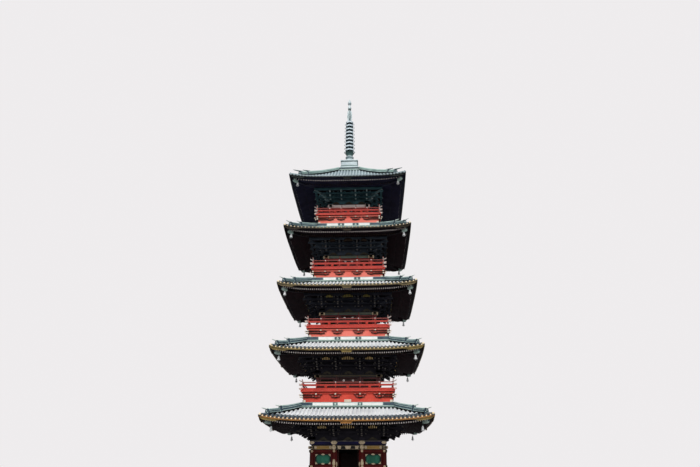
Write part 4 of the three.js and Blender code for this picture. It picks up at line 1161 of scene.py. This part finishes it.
def window_bars(piece, x0, x1, y, count, half, z0, z1, paint):
    """Upright bars set cornerwise, at an even pitch from x0 to x1, on both sides of the middle."""
    bar = prism([(-half, 0), (0, -half), (half, 0), (0, half)], z0, z1, "z")
    places = [((x0 + x1) / 2 + x, y, 0) for x in spread(count, (x1 - x0) / count)]
    piece.pairs(moved(bar, *places), paint)


def screens(s):
    """Closed doors with round bosses in the middle bay and barred windows beside them."""
    piece = Piece(f"doors_and_windows_{s['number']}")
    wall, foot, low = s["wall"], s["deck"][2], s["lintel"][0]
    inner = INNER * wall
    back = -wall + 0.113
    # A black sheet just inside the walls: painted shade for the dark room behind the doors and windows.
    piece.add(slab_ring(wall - 0.158, wall - 0.14, foot, low), "black")
    x0, x1, z0, z1 = 0.006, inner - DOOR_POST + 0.03, foot + SILL, low - DOOR_HEAD
    middle = (z0 + z1) / 2
    piece.pairs(block(x0, x1, back, back + 0.025, z0 - 0.02, z1 + 0.02), "door_red")
    for a, b, c, d in ((x0, x1, z0, z0 + 0.07), (x0, x1, z1 - 0.07, z1), (x0, x0 + 0.06, z0, z1),
                       (x1 - 0.06, x1, z0, z1), (x0, x1, middle - 0.03, middle + 0.03)):
        piece.pairs(block(a, b, back - 0.02, back, c, d), "door_red")
    boss = moved(facing(lathe(BOSS, 18)), (0.39 * inner, back - 0.02, z1 - 0.14))
    piece.pairs(boss, "tip")
    x0, x1 = inner + 0.2, wall - 0.2
    count = int((x1 - x0) / 0.085)
    window_bars(piece, x0, x1, -wall + 0.02, count, 0.02, foot + 0.31, low - 0.11, "olive_lattice")
    backing = block(x0, x1, -wall + 0.06, -wall + 0.08, foot + 0.3, low - 0.1)
    piece.pairs(backing, "olive_lattice")
    piece.build([f"doors_and_lattices_{s['number']}"])


# Ground storey

FLOOR_TOP = 1.0
PLATFORM_TOP = 0.85
COLUMN_RADIUS = 0.165
WINDOW = (1.275, 2.25, 2.51, 3.06)
DOORWAY = 0.775
LOW_RAIL = (2.21, 2.39)
HIGH_RAIL = (3.22, 3.39)
RAIL_OUT = 0.19
GROOVE_TOP = 2.12
BEAM_TOP = 3.66
NECK = (3.65, 3.75)  # between the lintel's lower beam and its upper one
BAND = (3.44, 3.645)
BEAM_PLATES = 3.55
HEAD_PLATES = 3.87
TRAPEZOID = [(-0.23, 0.1), (-0.16, -0.1), (0.16, -0.1), (0.23, 0.1)]
PLATE_CORNER = [(0, 0), (0.17, 0), (0.155, 0.03), (0.11, 0.045), (0.1, 0.085), (0.045, 0.1), (0.03, 0.14),
                (0, 0.155)]


def disc(radius, thick, sides=16):
    """A round fitting with a raised middle, facing the front."""
    r = radius
    return facing(lathe([(0, thick), (r * 0.3, thick), (r * 0.45, thick * 0.55), (r * 0.75, thick * 0.55),
                         (r * 0.85, thick * 0.8), (r, thick * 0.4), (r, 0), (0, 0)], sides))


def lobed(width, height, lobes, depth=0.014):
    """A metal plate with a scalloped outline, facing the front."""
    outline = []
    for a in turns(40):
        swell = 0.5 - 0.065 * (1 - abs(math.cos(lobes * a / 2)))
        outline.append((width * swell * math.cos(a), height * swell * math.sin(a)))
    return prism(outline, -depth, 0, "y")


def ground_walls():
    piece = Piece("ground_walls")
    wall, top = GROUND["wall"], GROUND["lintel"][0]
    inner = INNER * wall
    r, foot = COLUMN_RADIUS, FLOOR_TOP
    column = [(0, foot), (r + 0.01, foot), (r + 0.01, foot + 0.02), (r, foot + 0.03), (r, top), (0, top)]
    shoe = [(0, foot + 0.002), (r + 0.014, foot + 0.002), (r + 0.012, foot + 0.2), (0, foot + 0.2)]
    for profile, paint in ((column, "red_wood"), (shoe, "fitting")):
        for x in (-inner, inner, wall):
            piece.sides(lathe(profile, 28, (x, -wall, 0)), paint)
    y0, y1 = -wall - 0.06, -wall + 0.06
    w0, w1, wz0, wz1 = WINDOW
    for x0, x1, z0, z1 in ((DOORWAY, inner, foot, top), (inner, w0, foot, top), (w1, wall, foot, top),
                           (w0, w1, foot, wz0), (w0, w1, wz1, top)):
        piece.pairs(block(x0, x1, y0, y1, z0, z1), "red_wood")
    rail = -wall - RAIL_OUT
    for z0, z1 in (LOW_RAIL, HIGH_RAIL, (foot, foot + 0.16)):
        piece.pairs(block(inner - r, wall + RAIL_OUT, rail, rail + 0.13, z0, z1), "red_wood")
    for x0, x1, z0, z1 in ((w0 - 0.08, w0, wz0 - 0.07, wz1 + 0.07), (w1, w1 + 0.08, wz0 - 0.07, wz1 + 0.07),
                           (w0, w1, wz0 - 0.07, wz0), (w0, w1, wz1, wz1 + 0.07)):
        piece.pairs(block(x0, x1, y0 - 0.03, y0 + 0.01, z0, z1), "black")
    for x in (w0 + 0.16, (w0 + w1) / 2, w1 - 0.16):
        groove = block(x - 0.012, x + 0.012, y0 - 0.012, y0, foot + 0.2, GROOVE_TOP)
        piece.pairs(groove, "door_red")
    nodes = ["front_wall_left", "front_wall_right", "right_wall", "back_wall", "left_wall"]
    piece.build(nodes, bevel=0.004)


def ground_fittings():
    """Metal plates of the ground storey: nail covers, window corners and the column heads' plates."""
    piece = Piece("ground_fittings")
    wall = GROUND["wall"]
    inner = INNER * wall
    w0, w1, wz0, wz1 = WINDOW
    rail, window, column, beam, head = (-wall - out for out in (RAIL_OUT, 0.09, COLUMN_RADIUS, 0.17, 0.1))
    plates = []
    for x in (inner, wall):
        for low, high in (LOW_RAIL, HIGH_RAIL):
            plates.append((disc(0.085, 0.03), x, rail, (low + high) / 2))
    for x, way in ((w0 - 0.045, 1), (w1 + 0.045, -1)):
        for z, up in ((wz0 - 0.045, 1), (wz1 + 0.045, -1)):
            plates.append((prism([(way * a, up * b) for a, b in PLATE_CORNER], -0.016, 0, "y"), x, window, z))
    for z in (wz0 - 0.03, wz1 + 0.03):
        plates.append((lobed(0.27, 0.1, 4), (w0 + w1) / 2, window - 0.002, z))
    for z in (1.35, 1.9, 2.45):
        plates.append((lobed(0.09, 0.34, 6), DOORWAY + 0.02, -wall - 0.062, z))
    for x in (inner + 0.26, wall - 0.24):
        plates.append((disc(0.1, 0.02), x, head - 0.004, BEAM_PLATES))
    plates += [
        (lobed(0.2, 0.56, 6, 0.03), inner, column + 0.012, 2.52),
        (lobed(0.16, 0.3, 6, 0.03), inner, column + 0.012, 1.6),
        (lobed(0.46, 0.26, 6, 0.02), inner, beam, HEAD_PLATES),
        (lobed(0.34, 0.2, 6, 0.02), wall, beam, HEAD_PLATES),
        (lobed(0.3, 0.34, 6, 0.03), inner, head - 0.09, BEAM_PLATES + 0.01),
        (prism([(a * 0.6, b) for a, b in TRAPEZOID], -0.022, 0, "y"), 0.62, head, BEAM_PLATES),
    ]
    for shape, *place in plates:
        piece.pairs(moved(shape, place), "fitting")
    piece.sides(prism(placed(TRAPEZOID, 0, BEAM_PLATES), head - 0.022, head, "y"), "fitting")
    piece.build()


def ground_lintel():
    piece = Piece("ground_lintel")
    wall, (low, top) = GROUND["wall"], GROUND["lintel"]
    for half, z0, z1, paint in ((0.1, low, BEAM_TOP, "black"), (0.06, *NECK, "black"),
                                (0.16, NECK[1] - 0.01, top - 0.05, "indigo"),
                                (0.17, top - 0.05, top, "bracket_end")):
        piece.add(slab_ring(wall - half, wall + half, z0, z1), paint)
    for z in (BAND[0] - 0.01, BAND[1]):
        piece.add(slab_ring(wall + 0.09, wall + 0.12, z, z + 0.014), "fitting")
    band = block(INNER * wall + 0.17, wall - 0.15, -wall - 0.112, -wall - 0.098, *BAND)
    piece.pairs(band, "ochre")
    end = wall + 0.28
    nose = both_halves([(end - 0.06, 3.46), (end, 3.5), (end, 3.6), (end - 0.05, 3.64)])
    piece.sides(prism(nose, -wall - 0.075, -wall + 0.075, "y"), "black")
    piece.pairs(block(end - 0.1, end, -wall - 0.08, -wall + 0.08, 3.475, 3.625), "fitting")
    piece.build(["lintel_1"], bevel=0.004)


def ground_windows():
    piece = Piece("ground_window_bars")
    wall = GROUND["wall"]
    x0, x1, z0, z1 = WINDOW
    window_bars(piece, x0, x1, -wall + 0.075, 11, 0.022, z0 - 0.03, z1 + 0.03, "lattice")
    x0, x1 = x0 - 0.03, x1 + 0.03
    piece.pairs(block(x0, x1, -wall + 0.1, -wall + 0.12, z0 - 0.03, z1 + 0.03), "lattice")
    for z in (z0 - 0.03, (z0 + z1) / 2 - 0.02, z1):
        piece.pairs(block(x0, x1, -wall + 0.062, -wall + 0.09, z, z + 0.035), "lattice")
    piece.build(["window_lattices_1"])


SILL_TOP = 1.06
PIVOT = (0.72, 0.03)  # out from the middle, and behind the wall's middle line
LEAF_EDGES = (0.006, 0.745)  # of a front leaf
SHUT_EDGES = (0.0003, 0.7745)  # of a closed leaf


def leaf_shapes(z0, z1, edges):
    """A door leaf from its free edge to its hinge edge, with its face at y 0, as shapes with paints."""
    x0, x1 = edges
    shapes = [(block(x0, x1, 0.012, 0.05, z0, z1), "door_red")]
    middle = z0 + 1.03
    for a, b, c, d in ((x0, x0 + 0.1, z0, z1), (x1 - 0.1, x1, z0, z1), (x0, x1, z0, z0 + 0.15),
                       (x0, x1, z1 - 0.13, z1), (x0, x1, middle - 0.07, middle + 0.07)):
        shapes.append((block(a, b, 0, 0.06, c, d), "door_red"))
    for x in np.linspace(x0 + 0.14, x1 - 0.14, 6):
        section = [(x - 0.012, 0), (x, 0), (x + 0.012, 0.012), (x - 0.012, 0.012)]
        shapes.append((prism(section, middle + 0.07, z1 - 0.13, "z"), "door_red"))
    for z in (z0 + 0.075, middle, z1 - 0.065):
        shapes.append((moved(disc(0.05, 0.0), (x0 + 0.05, 0.001, z)), "fitting"))
        for x in (x0 + 0.05, x1 - 0.05):
            shapes.append((block(x - 0.045, x + 0.045, -0.003, 0.0, z - 0.05, z + 0.05), "fitting"))
    return shapes


def closed_doors():
    piece = Piece("ground_closed_doors")
    for shape, paint in leaf_shapes(SILL_TOP + 0.002, GROUND["lintel"][0] - 0.002, SHUT_EDGES):
        points, faces = on_sides(mirrored(moved(shape, (0, -GROUND["wall"], 0))))
        piece.add((points[1:], faces), paint)
    piece.build(["right_doors", "back_doors", "left_doors"])


def front_leaf(side):
    """A front leaf, swung open from the closed place round its pivot into the room."""
    sign = -1 if side == "left" else 1
    piece = Piece(f"front_leaf_{side}")
    wall, top = GROUND["wall"], GROUND["lintel"][0]
    pivot = np.array([sign * PIVOT[0], -wall + PIVOT[1], 0])
    for (points, faces), paint in leaf_shapes(SILL_TOP + 0.01, top - 0.01, LEAF_EDGES):
        shut = points * (sign, 1, 1) + (0, -wall, 0) - pivot
        piece.add(moved(turned((shut.reshape(-1, 3), faces), -sign * math.pi / 2), pivot), paint)
    for z0, z1 in ((SILL_TOP + 0.002, SILL_TOP + 0.02), (top - 0.02, top - 0.002)):
        piece.add(lathe([(0, z0), (0.02, z0), (0.02, z1), (0, z1)], 16, tuple(pivot)), "fitting")
    node = f"front_door_{side}"
    piece.build([node], body=node)


FLOOR_HALF = 2.8
BOARDS = 23
JOINT = 0.003  # on each side of a board or stone


def floor():
    piece = Piece("ground_floor_boards")
    wall, half = GROUND["wall"], FLOOR_HALF
    span = half - 0.02
    piece.add(centred(0, 0, span, span, PLATFORM_TOP, FLOOR_TOP - 0.02), "boards")
    piece.add(slab_ring(half - 0.12, half, PLATFORM_TOP, FLOOR_TOP - 0.025), "red_wood")
    pitch = 2 * span / BOARDS
    for x in spread(BOARDS, pitch):
        piece.add(centred(x, 0, pitch / 2 - JOINT, half, FLOOR_TOP - 0.03, FLOOR_TOP), "boards")
    post = INNER * wall - COLUMN_RADIUS
    piece.add(centred(0, -wall, post, 0.08, FLOOR_TOP, SILL_TOP), "black")
    for x in (-post + 0.12, 0, post - 0.12):
        plate = block(x - 0.09, x + 0.09, -wall - 0.086, -wall - 0.05, FLOOR_TOP + 0.002, SILL_TOP + 0.001)
        piece.add(plate, "fitting")
    sill = centred(0, -wall, DOORWAY, 0.06, FLOOR_TOP, SILL_TOP)
    piece.add((on_sides(sill)[0][1:], BOX_FACES), "black")
    piece.build(["ground_floor"], bevel=0.003)


PLATFORM_HALF = 4.1
STEP_COUNT = 4
TREAD = 0.3
STAIR_HALF = 1.15
CHEEK = 0.26
EDGE_STONE = 0.45
SLABS = 9


def stone_row(piece, rng, x0, x1, y0, y1, z0, z1, length):
    """A course of stones along the front, with uneven joints."""
    count = max(1, round((x1 - x0) / length))
    cuts = np.linspace(x0, x1, count + 1)
    cuts[1:-1] += rng.uniform(-0.06, 0.06, count - 1) * length
    for a, b in zip(cuts[:-1], cuts[1:]):
        face = y0 + rng.uniform(0, 0.006)
        piece.sides(block(a + JOINT, b - JOINT, face, y1, z0 + 0.002, z1 - 0.002), "stone")


def platform():
    piece = Piece("platform_stones")
    rng = np.random.default_rng(7)
    half, top = PLATFORM_HALF, PLATFORM_TOP
    core = half - 0.02
    piece.add(centred(0, 0, core, core, 0, top - 0.01), "joint")
    stone_row(piece, rng, -half, half - 0.001, -half, -half + 0.3, 0, 0.2, 1.0)
    stone_row(piece, rng, -half + 0.06, half - 0.061, -half + 0.06, -half + 0.2, 0.2, top - 0.17, 0.82)
    stone_row(piece, rng, -half, half - EDGE_STONE, -half, -half + EDGE_STONE, top - 0.17, top, 0.9)
    pitch = 2 * (half - EDGE_STONE) / SLABS
    slab = pitch / 2 - JOINT
    for x in spread(SLABS, pitch):
        for y in spread(SLABS, pitch):
            lift = rng.uniform(0, 0.003)
            piece.add(centred(x, y, slab, slab, top - 0.1, top - JOINT + lift), "stone")
    riser = top / STEP_COUNT
    for step in range(1, STEP_COUNT):
        out = half + (STEP_COUNT - step) * TREAD
        cuts = np.linspace(-STAIR_HALF, STAIR_HALF, 4)
        cuts[1:-1] += rng.uniform(-0.12, 0.12, 2)
        for a, b in zip(cuts[:-1], cuts[1:]):
            piece.sides(block(a + JOINT, b - JOINT, -out, -core, (step - 1) * riser, step * riser), "stone")
    edge = -half - (STEP_COUNT - 1) * TREAD - 0.12
    outline = [(-core, 0), (edge, 0), (edge, riser), (-core, top)]
    piece.pairs(prism(outline, STAIR_HALF + 0.004, STAIR_HALF + CHEEK, "x"), "stone")
    piece.build(["stone_platform"], bevel=0.006)


# Finial

BASE_TOP = 28.45
RING_FIRST = 29.9
RING_STEP = 0.393
RING_COUNT = 9
SHAFT_FOOT = BASE_TOP + 1.33
RINGS_TOP = RING_FIRST + RING_COUNT * RING_STEP - 0.1

# Profiles over the base's top
BOWL = [(0, 0), (0.54, 0), (0.56, 0.03), (0.56, 0.07), (0.54, 0.18), (0.49, 0.3), (0.4, 0.39), (0.3, 0.44),
        (0.2, 0.48), (0.19, 0.52), (0.24, 0.56), (0.33, 0.61), (0.37, 0.65), (0.3, 0.7), (0, 0.7)]
BOWL_RIM = [(0.3, 0.66), (0.375, 0.64), (0.39, 0.67), (0.385, 0.71), (0.3, 0.71)]
STEM = [(0, 0.69), (0.29, 0.69), (0.3, 0.76), (0.28, 0.86), (0.29, 0.98), (0.34, 1.08), (0.28, 1.2),
        (0.1, 1.24), (0.085, 1.33), (0, 1.33)]

# Sections of a ring, out from its radius and up from its height
HOOP = [(-0.04, -0.06), (-0.01, -0.07), (0, -0.05), (-0.006, 0), (0.004, 0.06), (0.014, 0.08),
        (-0.012, 0.085), (-0.04, -0.01)]
RING_ARM = [(-0.01, -0.01), (0.055, -0.035), (0.085, 0.01), (0.097, 0.045), (0.109, 0.04), (0.099, -0.02),
            (0.075, -0.055), (-0.01, -0.035)]
RING_BELL = [(0, -0.08), (0.02, -0.085), (0.026, -0.12), (0.042, -0.18), (0, -0.17)]

# One blade of the flame, out from the shaft and up from the rings' top
FLAME = [(0.03, 0.02), (0.15, 0.03), (0.21, 0.1), (0.235, 0.2), (0.21, 0.28), (0.24, 0.36), (0.235, 0.5),
         (0.21, 0.57), (0.24, 0.64), (0.235, 0.8), (0.205, 0.87), (0.23, 0.95), (0.21, 1.06), (0.18, 1.12),
         (0.19, 1.18), (0.13, 1.24), (0.03, 1.27)]

# Profiles over the shaft's end
SHAFT_END = 34.6
COLLAR = [(0, -0.02), (0.1, 0), (0.13, 0.06), (0.08, 0.1), (0, 0.1)]
LOW_JEWEL = [(0, 0.08), (0.09, 0.09), (0.16, 0.14), (0.175, 0.2), (0.16, 0.3), (0.135, 0.4), (0.11, 0.5),
             (0.095, 0.58), (0.11, 0.62), (0, 0.63)]
HIGH_JEWEL = [(0, 0.6), (0.08, 0.61), (0.14, 0.68), (0.18, 0.78), (0.18, 0.85), (0.15, 0.96), (0.11, 1.07),
              (0.07, 1.18), (0.03, 1.3), (0, 1.4)]


def petal(reach, low, rise):
    """A lotus petal that spreads out along +X and curls up."""
    rings = []
    for t in np.linspace(0, 1, 9):
        wide = 0.1 * math.sin(math.pi * (0.3 + 0.68 * t)) + 0.004
        out = 0.27 + (reach - 0.27) * t ** 1.7
        up = BASE_TOP + low + rise * t ** 0.9
        rings.append([(out, -wide, up), (out + 0.012, 0, up - 0.02), (out, wide, up),
                      (out - 0.02, wide, up + 0.012), (out - 0.012, 0, up - 0.004),
                      (out - 0.02, -wide, up + 0.012)])
    return tube(rings)


def finial_base():
    piece = Piece("finial_base_bronze")
    high = BASE_TOP
    low = TOP["crown"][1]
    # The thin darker bronze slabs between the pale ones are painted shadow lines under the ledges.
    for half, top, paint in ((0.8, 27.64, "bronze"), (0.83, 27.76, "bronze_pale"), (0.79, 27.85, "bronze"),
                             (0.73, high - 0.13, "bronze_pale"), (0.77, high - 0.09, "bronze"),
                             (0.8, high, "bronze_pale")):
        piece.add(centred(0, 0, half, half, low, top), paint)
        low = top
    piece.pairs(block(0.06, 0.64, -0.75, -0.72, 27.92, high - 0.2), "bronze_pale")
    middle = (0, 0, high)
    piece.add(lathe(BOWL, 36, middle), "bronze_pale")
    piece.add(lathe(BOWL_RIM, 36, middle, closed=True), "bronze_pale")
    piece.add(lathe(STEM, 28, middle), "bronze")
    piece.add(round_axis(petal(0.52, 0.84, 0.44), 8), "bronze")
    piece.add(round_axis(petal(0.44, 0.92, 0.34), 8, math.pi / 8), "bronze")
    piece.build(["finial_base"])


def finial_rings():
    piece = Piece("finial_rings_bronze")
    piece.add(lathe([(0, SHAFT_FOOT), (0.075, SHAFT_FOOT), (0.065, RINGS_TOP), (0, RINGS_TOP)], 20), "bronze")
    for i in range(RING_COUNT):
        z, radius = RING_FIRST + i * RING_STEP, 0.395 - 0.006 * i
        inner, hang = radius - 0.03, radius + 0.073
        dish = [(0, -0.05), (0.1, -0.055), (inner, -0.05), (inner, -0.02), (0.1, 0.01), (0.085, 0.09),
                (0, 0.09)]
        # The dish under the ring takes the darker bronze as painted shade, the hoop and arms the pale one as
        # painted sky light.
        piece.add(lathe(dish, 28, (0, 0, z)), "bronze_deep")
        piece.add(lathe(placed(HOOP, radius, z), 36, closed=True), "ring_pale")
        piece.add(round_axis(prism(placed(RING_ARM, radius, z), -0.012, 0.012, "y"), 8), "ring_pale")
        for shape in (lathe(RING_BELL, 8, (hang, 0, z)), centred(hang, 0, 0.006, 0.006, z - 0.1, z - 0.03)):
            piece.add(round_axis(shape, 8), "bronze_deep")
    piece.build(["finial_rings"])


def finial_flame():
    piece = Piece("finial_flame_bronze")
    piece.add(lathe([(0, RINGS_TOP), (0.055, RINGS_TOP), (0.045, SHAFT_END), (0, SHAFT_END)], 16), "bronze")
    blade = prism(placed(FLAME, 0, RINGS_TOP), -0.014, 0.014, "y")
    piece.add(round_axis(blade, 4), "bronze_pale")
    for out, z0, z1 in ((0.08, 0.12, 1.02), (0.14, 0.24, 0.8), (0.2, 0.36, 0.66)):
        vein = centred(out, 0, 0.008, 0.022, RINGS_TOP + z0, RINGS_TOP + z1)
        piece.add(round_axis(vein, 4), "bronze")
    for profile, paint in ((COLLAR, "bronze"), (LOW_JEWEL, "bronze_pale"), (HIGH_JEWEL, "bronze_pale")):
        piece.add(lathe(profile, 28, (0, 0, SHAFT_END)), paint)
    piece.build(["finial_flame"])


# Stage, lights and camera


FLOOR_SPAN = 300
FLOOR_COLOUR = (0.46, 0.455, 0.45, 1)
BACKDROP = (0.86, 0.84, 0.85, 1)
# Light from around: share of the way from straight down to straight up, and its level
SKY = ((0.47, 0.24), (0.51, 0.5), (0.62, 0.64))
SKY_FOOT = (0.2, 0.2, 0.21, 1)
SKY_TOP = (1.35, 1.34, 1.36, 1)
# The camera that was fitted to the photo
LENS, SENSOR = 28, 36
EYE = (1.75, -43.95, 1.6)
TILT_UP, TURN_LEFT = 24.15, 2.233


def stage():
    """A wide, pale floor under the tower, which throws no light back on it."""
    far = FLOOR_SPAN
    mesh = bpy.data.meshes.new("studio_floor")
    mesh.from_pydata([(-far, -far, 0), (far, -far, 0), (far, far, 0), (-far, far, 0)], [], [(0, 1, 2, 3)])
    plane = in_scene("studio_floor", mesh)
    plane.visible_diffuse = plane.visible_glossy = False
    pale = bpy.data.materials.new("studio_floor")
    pale.use_nodes = True
    shader = pale.node_tree.nodes["Principled BSDF"]
    shader.inputs["Base Color"].default_value = FLOOR_COLOUR
    shader.inputs["Roughness"].default_value = 0.85
    mesh.materials.append(pale)


def lamp(name, strength, angle, azimuth, elevation, tint):
    light = bpy.data.lights.new(name, "SUN")
    light.energy, light.angle, light.color = strength, math.radians(angle), tint
    thing = in_scene(name, light)
    thing.rotation_euler = (math.radians(90 - elevation), 0, math.radians(azimuth))


def sky():
    """A plain backdrop for the camera, and light from around that grows from the ground to the top."""
    world = bpy.data.worlds.new("studio")
    bpy.context.scene.world = world
    world.use_nodes = True
    tree = world.node_tree
    link = tree.links.new
    place, split, height, ramp, path, mix = (tree.nodes.new("ShaderNode" + kind) for kind in (
        "TexCoord", "SeparateXYZ", "MapRange", "ValToRGB", "LightPath", "Mix"))
    mix.data_type = "RGBA"
    link(place.outputs["Generated"], split.inputs["Vector"])
    height.inputs["From Min"].default_value = -1
    link(split.outputs["Z"], height.inputs["Value"])
    link(height.outputs["Result"], ramp.inputs["Fac"])
    stops = ramp.color_ramp.elements
    stops[0].position, stops[0].color = 0.0, SKY_FOOT
    stops[1].position, stops[1].color = 1.0, SKY_TOP
    for share, level in SKY:
        stops.new(share).color = (level, level, level * 1.03, 1)
    factor, first, second = (next(i for i in mix.inputs if i.name == name and i.type == kind)
                             for name, kind in (("Factor", "VALUE"), ("A", "RGBA"), ("B", "RGBA")))
    link(path.outputs["Is Camera Ray"], factor)
    link(ramp.outputs["Color"], first)
    second.default_value = BACKDROP
    colour = next(o for o in mix.outputs if o.type == "RGBA")
    background = tree.nodes["Background"]
    link(colour, background.inputs["Color"])
    background.inputs["Strength"].default_value = 1.0


def camera_and_lights():
    sky()
    lamp("key", 2.2, 30, -20, 50, (1.0, 0.98, 0.96))
    lamp("fill", 0.5, 60, 30, 20, (0.94, 0.97, 1.0))
    lens = bpy.data.cameras.new("photo_camera")
    lens.lens, lens.sensor_width = LENS, SENSOR
    lens.clip_end = 500
    view = in_scene("photo_camera", lens)
    view.location = EYE
    view.rotation_euler = (math.radians(90 + TILT_UP), 0, math.radians(TURN_LEFT))
    bpy.context.scene.camera = view
    bpy.context.scene.view_settings.view_transform = "Standard"


camera_and_lights()
stage()
platform()
floor()
ground_walls()
ground_fittings()
ground_lintel()
ground_windows()
closed_doors()
front_leaf("left")
front_leaf("right")
for below, s in zip([None, *STOREYS], STOREYS):
    if below:
        waist(s, below)
        railing(s)
        upper_walls(s)
        screens(s)
    bracket_tier(s)
    rafters(s)
    bells(s)
    tiles(s)
    ridges(s)
finial_base()
finial_rings()
finial_flame()
